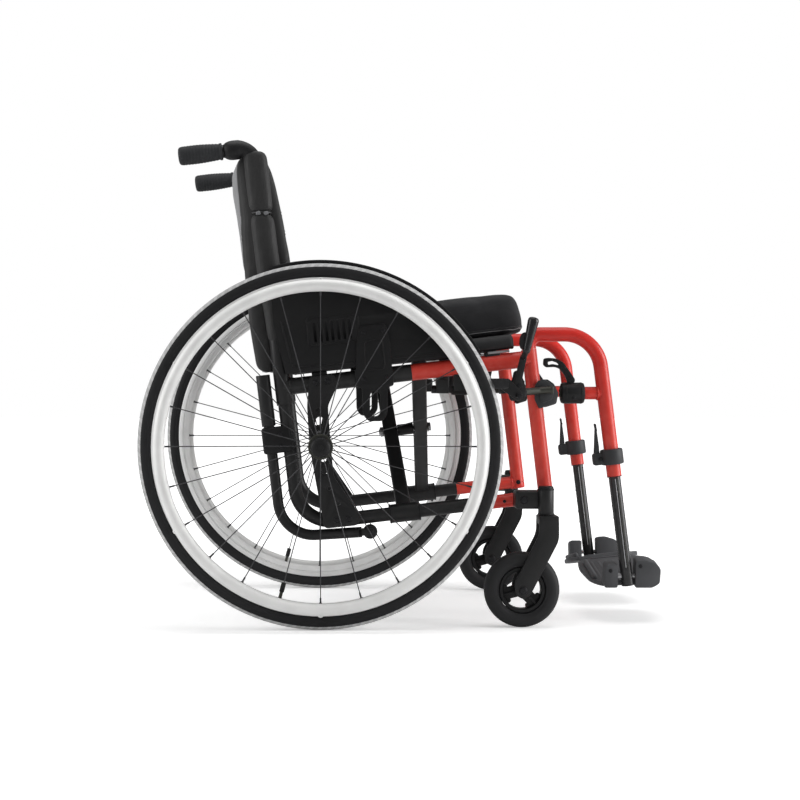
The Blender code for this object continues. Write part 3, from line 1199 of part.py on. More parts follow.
def guard_socket(side, name, parent):
    """The holder on the seat tube: a plate that clasps the guard, over a slotted receiver."""
    inner = FRAME_HALF_WIDTH + GUARD_INNER_FACE + GUARD_THICKNESS + SEAT_GAP
    outline = [(0.059, 0.398), (0.070, 0.396), (0.071, 0.352), (0.079, 0.340), (0.104, 0.340),
               (0.1120, 0.352), (0.113, 0.397), (0.123, 0.400), (0.115, 0.478), (0.108, 0.504),
               (0.066, 0.499), (0.060, 0.470)]
    slot = slot_points((0.0915, 0.357), (0.0915, 0.382), 0.0085)
    made = flat(outline, [slot], side, inner, SOCKET_THICKNESS)
    seat_top = 0.0155
    block = frame_box((0.106, 0.165), (SEAT_TUBE_RISE - 0.016, SEAT_TUBE_RISE + seat_top), side,
                      0.012, GUARD_INNER_FACE + GUARD_THICKNESS - 0.004)
    made = join(made, shifted(block, Vector((-0.035, 0, 0))))
    made = cut(made, seat_tube(side, 0.03, 0.16, hole_radius(SEAT_TUBE_RADIUS, SEAT_GAP)))
    return finish(made, f"guard_socket_{name}", PLASTIC, parent)


def shifted(item, move):
    item.data.transform(Matrix.Translation(move))
    return item


# Seat

def seat_sling(parent):
    """The fabric that wraps over both seat rails and sags a little between them."""
    top = SEAT_RAIL_RISE + SEAT_RAIL_RADIUS + CLOTH_GAP
    hem = FRAME_HALF_WIDTH + SEAT_RAIL_RADIUS + CLOTH_GAP
    half_path = [(hem, SEAT_RAIL_RISE - 0.006), (hem, SEAT_RAIL_RISE + 0.004),
                 (FRAME_HALF_WIDTH + 0.007, top), (FRAME_HALF_WIDTH - 0.006, top)]
    sag = [(FRAME_HALF_WIDTH * share, top - SLING_SAG * (1 - share * share))
           for share in (0.85, 0.6, 0.3, 0.0)]
    right_half = half_path + sag
    path = right_half + [(-out, rise) for out, rise in reversed(right_half[:-1])]
    work = bmesh.new()
    rows = []
    for along in (SEAT_RAIL_REAR + 0.008, SEAT_RAIL_FRONT - 0.008):
        row = []
        for out, rise in path:
            point = on_frame(along, rise, LEFT)
            point.y = out
            row.append(work.verts.new(point))
        rows.append(row)
    for before, after, far_before, far_after in zip(rows[0], rows[0][1:], rows[1], rows[1][1:]):
        work.faces.new([before, after, far_after, far_before])
    mesh = bpy.data.meshes.new("sling")
    work.to_mesh(mesh)
    work.free()
    sheet = link_new("sling", mesh)
    thick = sheet.modifiers.new("thickness", "SOLIDIFY")
    thick.thickness = SLING_THICKNESS
    thick.offset = 1.0
    thick.use_even_offset = True
    return finish(bake(sheet), "seat_sling", FABRIC, parent)


def cushion_ring(work, inset, rise, share=1.0):
    """One closed ring of the cushion; its straight sides draw in between the corners."""
    half_length = (CUSHION_FRONT - CUSHION_REAR) / 2
    ring = []
    for step in range(CUSHION_STEPS):
        angle = math.tau * (step + 0.5) / CUSHION_STEPS
        x = math.copysign(abs(math.cos(angle)) ** 0.25, math.cos(angle))
        y = math.copysign(abs(math.sin(angle)) ** 0.25, math.sin(angle))
        drawn = CUSHION_DRAW_IN * (1 - min(abs(x), abs(y)) ** 2)
        along = (half_length - inset - (drawn if abs(x) > abs(y) else 0)) * x * share
        out = (CUSHION_HALF_WIDTH - inset - (drawn if abs(y) > abs(x) else 0)) * y * share
        point = on_frame((CUSHION_REAR + CUSHION_FRONT) / 2 + along, rise, LEFT)
        point.y = out
        ring.append(work.verts.new(point))
    return ring


def seat_cushion(parent):
    """A crowned pad whose sides swell at half height and round over into the top."""
    foot = SEAT_RAIL_RISE + SEAT_RAIL_RADIUS + CLOTH_GAP + SLING_THICKNESS + SEAT_GAP
    wall = CUSHION_THICKNESS - CUSHION_CROWN
    sides = [(0.005, 0.0), (0.001, 0.10), (0.0, 0.40), (0.0025, 0.74), (0.0075, 0.92),
             (0.0160, 1.0)]
    crown = [(0.80, 0.45), (0.55, 0.80), (0.28, 0.97)]
    work = bmesh.new()
    rings = [cushion_ring(work, inset, foot + wall * level) for inset, level in sides]
    rings += [cushion_ring(work, sides[-1][0], foot + wall + CUSHION_CROWN * level, share)
              for share, level in crown]
    for lower, upper in zip(rings, rings[1:]):
        for step in range(CUSHION_STEPS):
            after = (step + 1) % CUSHION_STEPS
            work.faces.new([lower[step], lower[after], upper[after], upper[step]])
    middle = on_frame((CUSHION_REAR + CUSHION_FRONT) / 2, foot + CUSHION_THICKNESS, LEFT)
    middle.y = 0
    peak = work.verts.new(middle)
    for step in range(CUSHION_STEPS):
        work.faces.new([rings[-1][step], rings[-1][(step + 1) % CUSHION_STEPS], peak])
    work.faces.new(rings[0][::-1])
    mesh = bpy.data.meshes.new("cushion")
    work.to_mesh(mesh)
    work.free()
    return finish(bake(link_new("cushion", mesh)), "seat_cushion", FABRIC, parent)


# Anti-tipper

def anti_tip_corner():
    return post_at_height(ANTI_TIP_CORNER_HEIGHT, RIGHT, ANTI_TIP_BEHIND)


def anti_tip_tube(parent):
    top = post_at_height(ANTI_TIP_TOP, RIGHT, ANTI_TIP_BEHIND)
    roller = place(*ANTI_TIP_ROLLER, RIGHT, FRAME_HALF_WIDTH)
    end = roller - (roller - anti_tip_corner()).normalized() * (ANTI_TIP_ROLLER_RADIUS + 0.002)
    pipe = tube(bend([top, anti_tip_corner(), end], [ANTI_TIP_BEND]), ANTI_TIP_RADIUS)
    sleeve = cylinder(post_at_height(ANTI_TIP_SLEEVE_FOOT + 0.003, RIGHT, ANTI_TIP_BEHIND), top,
                      ANTI_TIP_SLEEVE_RADIUS)
    way = (roller - anti_tip_corner()).normalized()
    tilt = Matrix((way, Vector((0, 1, 0)), way.cross(Vector((0, 1, 0))))).transposed().to_4x4()
    cheek_out = ANTI_TIP_ROLLER_WIDTH / 2 + RUNNING_GAP + ANTI_TIP_CHEEK / 2
    bridge = box(end - way * 0.003, (0.007, 2 * cheek_out + ANTI_TIP_CHEEK - 0.001, 0.013), tilt)
    cheeks = [box((end + roller) / 2 + Vector((0, sign * cheek_out, 0)),
                  ((roller - end).length + 0.011, ANTI_TIP_CHEEK, 0.011), tilt)
              for sign in (-1, 1)]
    pin_half = Vector((0, cheek_out, 0))
    pin = cylinder(roller - pin_half, roller + pin_half, ANTI_TIP_PIN_RADIUS, 8)
    made = join(pipe, sleeve, bridge, *cheeks, pin)
    return finish(made, "anti_tip_tube", BLACK, parent)


def anti_tip_roller(parent):
    """The small wheel between the tube's two cheeks."""
    centre = place(*ANTI_TIP_ROLLER, RIGHT, FRAME_HALF_WIDTH)
    half = ANTI_TIP_ROLLER_WIDTH / 2
    bore = ANTI_TIP_PIN_RADIUS + RUNNING_GAP
    body = turned([(bore, half), (ANTI_TIP_ROLLER_RADIUS - 0.002, half),
                   (ANTI_TIP_ROLLER_RADIUS, half - 0.003), (ANTI_TIP_ROLLER_RADIUS, -half + 0.003),
                   (ANTI_TIP_ROLLER_RADIUS - 0.002, -half), (bore, -half)], centre, RIGHT, 16,
                  closed=True)
    return finish(body, "anti_tip_roller", TYRE_RUBBER, parent, centre)


def anti_tip_clamp(parent):
    """The block that ties the anti-tipper's tube to the back post."""
    half = ANTI_TIP_CLAMP_HEIGHT / 2
    low = post_at_height(ANTI_TIP_CLAMP_CENTRE - half, RIGHT, ANTI_TIP_BEHIND)
    high = post_at_height(ANTI_TIP_CLAMP_CENTRE + half, RIGHT, ANTI_TIP_BEHIND)
    way = (high - low).normalized()
    across = Vector((way.z, 0, -way.x))
    tilt = Matrix((across, Vector((0, 1, 0)), way)).transposed().to_4x4()
    reach = (-0.0135, ANTI_TIP_BEHIND + 0.004)
    centre = (low + high) / 2 + across * (sum(reach) / 2)
    block = box(centre, (reach[1] - reach[0], 0.029, (high - low).length), tilt, 0.003)
    inner_tube = tube([post_at_height(0.22, RIGHT, ANTI_TIP_BEHIND),
                       post_at_height(0.40, RIGHT, ANTI_TIP_BEHIND)],
                      hole_radius(ANTI_TIP_RADIUS, RUNNING_GAP))
    post = tube([post_at_height(0.22, RIGHT), post_at_height(0.40, RIGHT)],
                hole_radius(LOWER_RAIL_RADIUS, SEAT_GAP))
    return finish(cut(block, inner_tube, post), "anti_tip_clamp", PLASTIC, parent)


# Assembly

def side_pieces(side, name, frame):
    wheel_centre = place(0, AXLE_HEIGHT, side, WHEEL_PLANE)
    for make in (frame_rear, frame_front, axle_plate, axle, caster_housing, brake_bracket,
                 back_tube, push_grip, guard_socket):
        make(side, name, frame)
    wheel = pivot_empty(f"wheel_axis_{name}", wheel_centre, frame)
    for make in (tyre, rim, spoked_hub, handrim):
        make(side, name, wheel)
    guard = pivot_empty(f"guard_slide_{name}", on_frame(0.1, SEAT_TUBE_RISE, side), frame)
    side_guard(side, name, guard)
    swivel = pivot_empty(f"caster_swivel_{name}",
                         place(STEM_FORWARD, HOUSING_BOTTOM, side, CASTER_PLANE), frame)
    caster_fork(side, name, swivel)
    caster = pivot_empty(f"caster_axis_{name}", place(STEM_FORWARD - CASTER_TRAIL, CASTER_RADIUS,
                                                      side, CASTER_PLANE), swivel)
    caster_tyre(side, name, caster)
    caster_hub(side, name, caster)
    swing = pivot_empty(f"hanger_swing_{name}",
                        on_frame(FRONT_TUBE_ALONG, FRONT_TUBE_TOP_RISE, side), frame)
    hanger(side, name, swing)
    latch_block(side, name, swing)
    extension_clamp(side, name, swing)
    latch = pivot_empty(f"latch_axis_{name}", latch_lever_pivot(side), swing)
    latch_lever(side, name, latch)
    slide = pivot_empty(f"extension_slide_{name}", down_tube_at(HANGER_END_HEIGHT, side), swing)
    extension_tube(side, name, slide)
    flip = pivot_empty(f"footplate_hinge_{name}", foot_hinge(side), slide)
    footplate(side, name, flip)
    lever = pivot_empty(f"brake_axis_{name}", place(*BRAKE_PIVOT, side, BRAKE_LAYER), frame)
    brake_lever(side, name, lever)
    shoe = pivot_empty(f"shoe_axis_{name}", place(*SHOE_PIVOT, side, BRAKE_LAYER), frame)
    brake_shoe(side, name, shoe)


def build():
    right = pivot_empty("side_right", on_frame(0, -LOWER_RAIL_DROP, RIGHT))
    arm_a = pivot_empty("fold_axis", on_frame(ARM_A_ALONG, -LOWER_RAIL_DROP, RIGHT), right)
    middle = on_frame(ARM_B_ALONG, SEAT_RAIL_RISE - brace_height() / 2, LEFT)
    middle.y = 0
    arm_b = pivot_empty("cross_axis", middle, arm_a)
    left = pivot_empty("side_left", on_frame(ARM_B_ALONG, -LOWER_RAIL_DROP, LEFT), arm_b)
    frames = {"right": right, "left": left}
    for name, side in SIDES.items():
        side_pieces(side, name, frames[name])
    cross_arm(RIGHT, ARM_A_ALONG, "a", arm_a, None)
    cross_arm(LEFT, ARM_B_ALONG, "b", arm_b, None)
    pivot_bolt(arm_a)
    seat_sling(right)
    seat_cushion(right)
    back_upholstery(right)
    swivel = pivot_empty("anti_tip_axis", post_at_height(ANTI_TIP_TOP, RIGHT, ANTI_TIP_BEHIND),
                         right)
    anti_tip_tube(swivel)
    anti_tip_roller(swivel)
    anti_tip_clamp(right)


build()
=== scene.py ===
"""Dresses the folding wheelchair: smooth tubes, laced wheels, padded fabric, light and camera.

Metres, +Z up, +X forward, +Y to the chair's left. Each side's pieces come from one function, with
side -1 for the right and +1 for the left. Distances forward are counted from the drive axle.
"""

import json
import math

import bmesh
import bpy
from mathutils import Matrix, Vector, bvhtree, noise

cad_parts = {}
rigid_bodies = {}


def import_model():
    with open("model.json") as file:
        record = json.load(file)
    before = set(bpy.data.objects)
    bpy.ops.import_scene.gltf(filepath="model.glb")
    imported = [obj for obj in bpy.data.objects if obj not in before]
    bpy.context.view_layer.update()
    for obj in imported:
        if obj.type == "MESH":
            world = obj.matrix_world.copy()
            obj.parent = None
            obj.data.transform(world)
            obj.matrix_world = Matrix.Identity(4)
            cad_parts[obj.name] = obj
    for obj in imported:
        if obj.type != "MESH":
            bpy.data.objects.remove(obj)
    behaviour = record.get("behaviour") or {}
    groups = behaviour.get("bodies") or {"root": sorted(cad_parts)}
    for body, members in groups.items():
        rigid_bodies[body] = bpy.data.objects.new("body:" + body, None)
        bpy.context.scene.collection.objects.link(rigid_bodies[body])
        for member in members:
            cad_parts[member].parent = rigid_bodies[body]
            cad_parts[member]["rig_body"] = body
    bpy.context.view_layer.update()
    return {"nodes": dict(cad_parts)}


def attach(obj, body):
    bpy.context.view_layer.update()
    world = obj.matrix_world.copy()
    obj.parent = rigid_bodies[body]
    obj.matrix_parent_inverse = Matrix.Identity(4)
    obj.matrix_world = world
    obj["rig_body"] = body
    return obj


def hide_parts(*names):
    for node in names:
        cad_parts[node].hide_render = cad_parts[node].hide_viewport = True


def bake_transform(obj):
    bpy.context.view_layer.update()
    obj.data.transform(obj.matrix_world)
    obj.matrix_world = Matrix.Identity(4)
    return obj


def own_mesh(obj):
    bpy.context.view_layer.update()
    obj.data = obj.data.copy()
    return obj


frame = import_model()

RIGHT, LEFT = -1, 1
GAP = 0.0003
CLOTH_GAP = 0.0006
SIDES = {"right": RIGHT, "left": LEFT}

# Side frame
AXLE_HEIGHT = 0.300
AXLE_FORWARD = -0.1355
HALF_WIDTH = 0.185
PITCH = math.radians(6.6)
ALONG = Vector((math.cos(PITCH), 0, math.sin(PITCH)))
RISE = Vector((-math.sin(PITCH), 0, math.cos(PITCH)))
SEAT_TUBE_RISE = 0.1034
SEAT_TUBE_RADIUS = 0.014
LOWER_DROP = 0.1294
LOWER_RADIUS = 0.0115
POST_FOOT = -0.0505
POST_LEAN = math.radians(0.3)
POST_RADIUS = 0.0137
POST_TOP = 0.200
FRONT_ALONG = 0.3675
FRONT_RADIUS = 0.0125
FRONT_TOP = 0.1190
RED_SEAT_ALONG = 0.166
RED_RAIL_ALONG = 0.249

# Wheels
WHEEL_RADIUS = 0.300
WHEEL_PLANE = 0.260
TYRE_HALF = 0.0127
TYRE_INNER = 0.2771
RIM_OUTER = 0.2765
RIM_BED = 0.2565
RIM_HALF = 0.01175
SPOKES = 24
FLANGE_OFFSET = 0.022
FLANGE_RADIUS = 0.0205
HANDRIM_RADIUS = 0.2616
HANDRIM_TUBE = 0.0098
HANDRIM_OFFSET = 0.040
CASTER_RADIUS = 0.0625
CASTER_HALF = 0.0135
CASTER_PLANE = 0.230
CASTER_AT = (0.333, 0.0625)
STEM_AT = 0.3735

# Footrests
DOWN_TOP = 0.415
DOWN_SLOPE = 0.0435 / 0.352
DOWN_FOOT = 0.246
LATCH_HEIGHT = 0.387
PLATE_REAR, PLATE_FRONT = 0.460, 0.571
PLATE_INNER, PLATE_OUTER = 0.0225, HALF_WIDTH - 0.0105
PLATE_THICKNESS = 0.0075
PLATE_TILT = math.radians(9.0)
TOES_UP = math.radians(6.0)

# Parking brake: its pivots are pairs of forward and height
LEVER_PIVOT = (0.328, 0.400)
SHOE_PIVOT = (0.326, 0.383)
LEVER_FACE = 0.2348
LEVER_THICKNESS = 0.005
CHEEK_THICKNESS = 0.0045
CHEEK_OUTER = LEVER_FACE - GAP
CHEEK_INNER = CHEEK_OUTER - CHEEK_THICKNESS
CLAMP_FACE = HALF_WIDTH + FRONT_RADIUS + CLOTH_GAP
CLAMP_ALONG = 0.0399
CLAMP_RISE = 0.044

# Side guard
GUARD_FACE = HALF_WIDTH + 0.0143
GUARD_THICKNESS = 0.003
GUARD_RADIUS = 0.309

# Anti-tipper
TIPPER_BEHIND = 0.0315
ROLLER_HALF = 0.0075

# Seat
RAIL_RISE = 0.1344
RAIL_RADIUS = 0.011
RAIL_REAR, RAIL_FRONT = -0.035, 0.335
CUSHION_FOOT = RAIL_RISE + RAIL_RADIUS + 0.0029
CUSHION_REAR, CUSHION_FRONT = -0.036, 0.3725
CUSHION_HALF = 0.183
CUSHION_HEIGHT = 0.068
SLING_SAG = 0.010

# Back
BACK_RADIUS = 0.0110
BACK_TOP = 0.795
HANDLE_HEIGHT = 0.800
HANDLE_SLOPE = math.radians(6.5)
HANDLE_WAY = Vector((-math.cos(HANDLE_SLOPE), 0, -math.sin(HANDLE_SLOPE)))
BACK_SEAM = 0.6905
BACK_PAD_FOOT = 0.600
BACK_FLAP_FOOT = 0.420
# Where the back panel's painted sheen lies: this far behind the posts and within this half width
SHEEN_PAINT_BEHIND, SHEEN_PAINT_HALF = 0.020, 0.158
SLEEVE_REACH = 0.0205
SLEEVE_FOOT = 0.470


# Places

def place(forward, height, side, out):
    return Vector((AXLE_FORWARD + forward, side * out, height))


def on_frame(along, rise, side, out=0.0):
    point = Vector((AXLE_FORWARD, 0, AXLE_HEIGHT)) + ALONG * along + RISE * rise
    point.y = side * (HALF_WIDTH + out)
    return point


def post_along(rise):
    return POST_FOOT - math.tan(POST_LEAN) * (rise + LOWER_DROP)


def post_at(height, side, behind=0.0, out=0.0):
    foot = on_frame(POST_FOOT, -LOWER_DROP, side)
    way = RISE * math.cos(POST_LEAN) - ALONG * math.sin(POST_LEAN)
    point = foot + way * ((height - foot.z) / way.z)
    point.x -= behind
    point.y = side * (HALF_WIDTH + out)
    return point


def down_tube(height, side):
    run = (DOWN_TOP - height) * DOWN_SLOPE
    return place(0.4745 + run, height, side, HALF_WIDTH)


def radial(angle):
    """The way out from an axle at an angle up from forward."""
    return Vector((math.cos(angle), 0, math.sin(angle)))


# Mesh tools

def link(name, data):
    made = bpy.data.objects.new(name, data)
    bpy.context.scene.collection.objects.link(made)
    return made


def from_bmesh(work, name):
    mesh = bpy.data.meshes.new(name)
    bmesh.ops.recalc_face_normals(work, faces=work.faces)
    work.to_mesh(mesh)
    work.free()
    return link(name, mesh)


def join_rows(work, rows, closed=True):
    """Fills the bands between neighbouring rows of points with faces."""
    count = len(rows[0])
    for near, far in zip(rows, rows[1:]):
        for index in range(count if closed else count - 1):
            after = (index + 1) % count
            work.faces.new([near[index], near[after], far[after], far[index]])


def wrap_rings(work, rings):
    """The wall of a form through rings of points; returns the rows of its vertices."""
    rows = [[work.verts.new(point) for point in ring] for ring in rings]
    join_rows(work, rows)
    return rows


def ring_solid(rings, name):
    """A closed form through rings of points, flat at both ends."""
    work = bmesh.new()
    rows = wrap_rings(work, rings)
    work.faces.new(rows[0][::-1])
    work.faces.new(rows[-1])
    return from_bmesh(work, name)


def bend(points, radii, steps=12):
    """Replaces each inner corner of a path with an arc of the given radius."""
    path = [Vector(points[0])]
    for before, corner, after, radius in zip(points, points[1:], points[2:], radii):
        start = (Vector(before) - Vector(corner)).normalized()
        end = (Vector(after) - Vector(corner)).normalized()
        half = start.angle(end) / 2
        centre = Vector(corner) + (start + end).normalized() * (radius / math.sin(half))
        first = Vector(corner) + start * (radius / math.tan(half)) - centre
        last = Vector(corner) + end * (radius / math.tan(half)) - centre
        path += [centre + first.slerp(last, step / steps).normalized() * radius
                 for step in range(steps + 1)]
    path.append(Vector(points[-1]))
    return path


def tube(path, radius, sides=12, cyclic=False):
    """A round bar along a path; sides counts half of its faces round."""
    data = bpy.data.curves.new("tube", "CURVE")
    data.dimensions = "3D"
    data.bevel_depth = radius
    data.bevel_resolution = sides - 2
    data.use_fill_caps = not cyclic
    spline = data.splines.new("POLY")
    spline.points.add(len(path) - 1)
    for target, point in zip(spline.points, path):
        target.co = (*point, 1)
    spline.use_cyclic_u = cyclic
    return link("tube", data)


def rod(start, end, radius, sides=28, bevel=0.0006, end_radius=None):
    start, end = Vector(start), Vector(end)
    work = bmesh.new()
    bmesh.ops.create_cone(work, cap_ends=True, segments=sides, radius1=radius,
                          radius2=radius if end_radius is None else end_radius,
                          depth=(end - start).length)
    made = from_bmesh(work, "rod")
    turn = Vector((0, 0, 1)).rotation_difference(end - start).to_matrix().to_4x4()
    made.matrix_world = Matrix.Translation((start + end) / 2) @ turn
    round_edges(made, bevel, 2)
    return made


def round_edges(item, width, segments=3):
    if width:
        edges = item.modifiers.new("edges", "BEVEL")
        edges.width = width
        edges.segments = segments
        edges.limit_method = "ANGLE"
        edges.angle_limit = math.radians(40)


def block(centre, size, bevel=0.0015, turn=None):
    work = bmesh.new()
    bmesh.ops.create_cube(work, size=1)
    bmesh.ops.scale(work, vec=Vector(size), verts=work.verts)
    made = from_bmesh(work, "block")
    made.matrix_world = Matrix.Translation(centre) @ (turn or Matrix.Identity(4))
    round_edges(made, bevel)
    return made


def axes_turn(way):
    """Turns the x axis to a way in the upright plane and leaves y across the chair."""
    x_way = way.normalized()
    z_way = x_way.cross(Vector((0, 1, 0))).normalized()
    return Matrix((x_way, z_way.cross(x_way), z_way)).transposed().to_4x4()


def frame_block(along, rise, side, width, out, bevel=0.002):
    centre = on_frame(sum(along) / 2, sum(rise) / 2, side, out)
    size = (abs(along[1] - along[0]), width, abs(rise[1] - rise[0]))
    return block(centre, size, bevel, turn=Matrix.Rotation(-PITCH, 4, "Y"))


def plate(outline, holes, side, inner, thickness, bevel=0.0008):
    """An upright plate from forward and height pairs, with holes through it and eased edges."""
    data = bpy.data.curves.new("plate", "CURVE")
    data.dimensions = "2D"
    data.fill_mode = "BOTH"
    data.extrude = thickness / 2 - bevel
    data.bevel_depth = bevel
    data.bevel_resolution = 1
    data.offset = -bevel
    for loop in [outline, *holes]:
        spline = data.splines.new("POLY")
        spline.points.add(len(loop) - 1)
        for target, (forward, height) in zip(spline.points, loop):
            target.co = (AXLE_FORWARD + forward, height, 0, 1)
        spline.use_cyclic_u = True
    made = link("plate", data)
    middle = side * (inner + thickness / 2)
    made.matrix_world = Matrix.Translation((0, middle, 0)) @ Matrix.Rotation(math.pi / 2, 4, "X")
    return made


def rounded(outline, radius, steps=5):
    """Rounds every corner of a closed outline of pairs."""
    made = []
    count = len(outline)
    for index in range(count):
        corner = Vector(outline[index])
        before = Vector(outline[index - 1]) - corner
        after = Vector(outline[(index + 1) % count]) - corner
        reach = min(radius, before.length * 0.45, after.length * 0.45)
        first, last = corner + before.normalized() * reach, corner + after.normalized() * reach
        for step in range(steps + 1):
            share = step / steps
            point = first.lerp(corner, share).lerp(corner.lerp(last, share), share)
            made.append((point.x, point.y))
    return made


def arc(centre, radius, steps, start=0.0, sweep=math.tau, closed=True):
    count = steps if closed else steps + 1
    return [(centre[0] + radius * math.cos(start + sweep * step / steps),
             centre[1] + radius * math.sin(start + sweep * step / steps))
            for step in range(count)]


def oblong(low, high, radius):
    steps = 10
    tilt = math.atan2(high[1] - low[1], high[0] - low[0])
    return (arc(high, radius, steps, tilt - math.pi / 2, math.pi, closed=False)
            + arc(low, radius, steps, tilt + math.pi / 2, math.pi, closed=False))


def turned(profile, centre, side, steps=96, closed=True):
    """Spins pairs of radius and outboard distance round the axle line through a point."""
    work = bmesh.new()
    rings = []
    for step in range(steps):
        angle = math.tau * step / steps
        rings.append([work.verts.new((centre.x + radius * math.cos(angle),
                                      centre.y + side * out,
                                      centre.z + radius * math.sin(angle)))
                      for radius, out in profile])
    join_rows(work, rings + rings[:1], closed)
    bmesh.ops.remove_doubles(work, verts=work.verts, dist=0.00001)
    return from_bmesh(work, "turned")


def gather(name, parts, angle=38):
    """Makes one piece of several, keeping each one's material, smooth but for its sharp edges."""
    bpy.context.view_layer.update()
    graph = bpy.context.evaluated_depsgraph_get()
    work = bmesh.new()
    kinds = []
    for item, kind in parts:
        if kind not in kinds:
            kinds.append(kind)
        mesh = bpy.data.meshes.new_from_object(item.evaluated_get(graph), depsgraph=graph)
        mesh.transform(item.matrix_world)
        if item.type == "MESH" and len(item.data.materials) > 1:
            kinds += [m for m in item.data.materials if m not in kinds]
            slots = [kinds.index(m) for m in item.data.materials]
        else:
            slots = [kinds.index(kind)]
        before = len(work.faces)
        work.from_mesh(mesh)
        work.faces.ensure_lookup_table()
        for face in work.faces[before:]:
            face.material_index = slots[min(face.material_index, len(slots) - 1)]
        bpy.data.meshes.remove(mesh)
        bpy.data.objects.remove(item, do_unlink=True)
    bmesh.ops.remove_doubles(work, verts=work.verts, dist=0.000003)
    mesh = bpy.data.meshes.new(name)
    work.to_mesh(mesh)
    work.free()
    made = link(name, mesh)
    for kind in kinds:
        mesh.materials.append(kind)
    mesh.shade_smooth()
    mesh.set_sharp_from_angle(angle=math.radians(angle))
    return made


def stand_for(made, node):
    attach(made, frame["nodes"][node]["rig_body"])
    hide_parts(node)


def dress(node, *parts, angle=38):
    """A finished piece that stands for a CAD node and moves with that node's body."""
    stand_for(gather("look_" + node, parts, angle), node)


# Materials

class Nodes:
    """Short ways to add and join the nodes of one tree."""

    def __init__(self, owner):
        owner.use_nodes = True
        self.tree = owner.node_tree

    def add(self, kind, inputs=None, **settings):
        node = self.tree.nodes.new(kind)
        for key, value in settings.items():
            setattr(node, key, value)
        for key, value in (inputs or {}).items():
            node.inputs[key].default_value = value
        return node

    def link(self, source, target):
        self.tree.links.new(source, target)

    def calculate(self, operation, first, second):
        """One sum of two values; the second may be a plain number."""
        node = self.add("ShaderNodeMath", operation=operation)
        self.link(first, node.inputs[0])
        if isinstance(second, float):
            node.inputs[1].default_value = second
        else:
            self.link(second, node.inputs[1])
        return node.outputs[0]

    def length(self, source):
        node = self.add("ShaderNodeVectorMath", operation="LENGTH")
        self.link(source, node.inputs[0])
        return node.outputs["Value"]

    def spread(self, source, low, high, start=0.0, end=1.0):
        """Turns the stretch from start to end into the one from low to high."""
        node = self.add("ShaderNodeMapRange", {"From Min": start, "From Max": end,
                                               "To Min": low, "To Max": high})
        self.link(source, node.inputs["Value"])
        return node.outputs["Result"]


class Surface(Nodes):
    """A shader that is put together from small procedural layers."""

    def __init__(self, name, colour, roughness, metallic=0.0):
        self.material = bpy.data.materials.new(name)
        super().__init__(self.material)
        self.shader = self.tree.nodes["Principled BSDF"]
        self.shader.inputs["Metallic"].default_value = metallic
        self.shader.inputs["Roughness"].default_value = roughness
        self.colour = colour
        self.place = self.add("ShaderNodeTexCoord").outputs["Object"]
        self.bump = None

    def grain(self, scale, detail=3.0):
        pattern = self.add("ShaderNodeTexNoise", {"Scale": scale, "Detail": detail})
        self.link(self.place, pattern.inputs["Vector"])
        return pattern.outputs["Fac"]

    def vary(self, scale, amount):
        """Colour that drifts a little lighter and darker over the surface."""
        ramp = self.add("ShaderNodeValToRGB")
        for element, where, share in zip(ramp.color_ramp.elements, (0.35, 0.65),
                                         (1 - amount, 1 + amount)):
            element.position = where
            element.color = (*[channel * share for channel in self.colour], 1)
        self.link(self.grain(scale, 4.0), ramp.inputs["Fac"])
        self.link(ramp.outputs["Color"], self.shader.inputs["Base Color"])
        return ramp.outputs["Color"]

    def rough(self, scale, low, high):
        self.link(self.spread(self.grain(scale, 5.0), low, high), self.shader.inputs["Roughness"])

    def raise_by(self, height, strength, distance):
        """Adds a layer of relief on top of those already there."""
        node = self.add("ShaderNodeBump", {"Strength": strength, "Distance": distance})
        self.link(height, node.inputs["Height"])
        if self.bump is not None:
            self.link(self.bump, node.inputs["Normal"])
        self.bump = node.outputs["Normal"]
        self.link(self.bump, self.shader.inputs["Normal"])

    def mix(self, amount, first, colour):
        """Blends a varying colour towards a plain one."""
        node = self.add("ShaderNodeMix", data_type="RGBA")
        self.link(amount, node.inputs[0])
        self.link(first, node.inputs[6])
        node.inputs[7].default_value = (*colour, 1)
        return node.outputs[2]

    def wear(self, colour, worn, amount=0.35):
        """Lets the edges show a worn tone, broken up by a noise."""
        geometry = self.add("ShaderNodeNewGeometry")
        edge = self.spread(geometry.outputs["Pointiness"], 0.0, 1.0, 0.52, 0.60)
        broken = self.calculate("MULTIPLY", edge,
                                self.spread(self.grain(90, 4.0), 0.0, 2 * amount))
        self.link(self.mix(broken, colour, worn), self.shader.inputs["Base Color"])


def paint(name, colour, roughness, worn, coat):
    """Powder coat: slightly pebbled, a little glossy, lighter where edges rub."""
    made = Surface(name, colour, roughness)
    made.wear(made.vary(14, 0.07), worn)
    made.shader.inputs["Specular IOR Level"].default_value = 0.30
    made.rough(60, roughness - 0.05, roughness + 0.08)
    made.raise_by(made.grain(900, 2.0), 0.12, 0.0004)
    made.shader.inputs["Coat Weight"].default_value = coat
    made.shader.inputs["Coat Roughness"].default_value = 0.22
    return made.material


def moulded(name, colour, roughness, grain_scale=1400, depth=0.0003, drift=0.10):
    """Moulded plastic or rubber with a fine spark-eroded grain."""
    made = Surface(name, colour, roughness)
    made.wear(made.vary(22, drift), [min(1, c * 1.8 + 0.004) for c in colour], 0.25)
    made.shader.inputs["Specular IOR Level"].default_value = 0.28
    made.rough(45, roughness - 0.07, roughness + 0.07)
    cells = made.add("ShaderNodeTexVoronoi", {"Scale": grain_scale})
    made.link(made.place, cells.inputs["Vector"])
    made.raise_by(cells.outputs["Distance"], 0.22, depth)
    made.raise_by(made.grain(130, 3.0), 0.05, 0.0006)
    return made.material


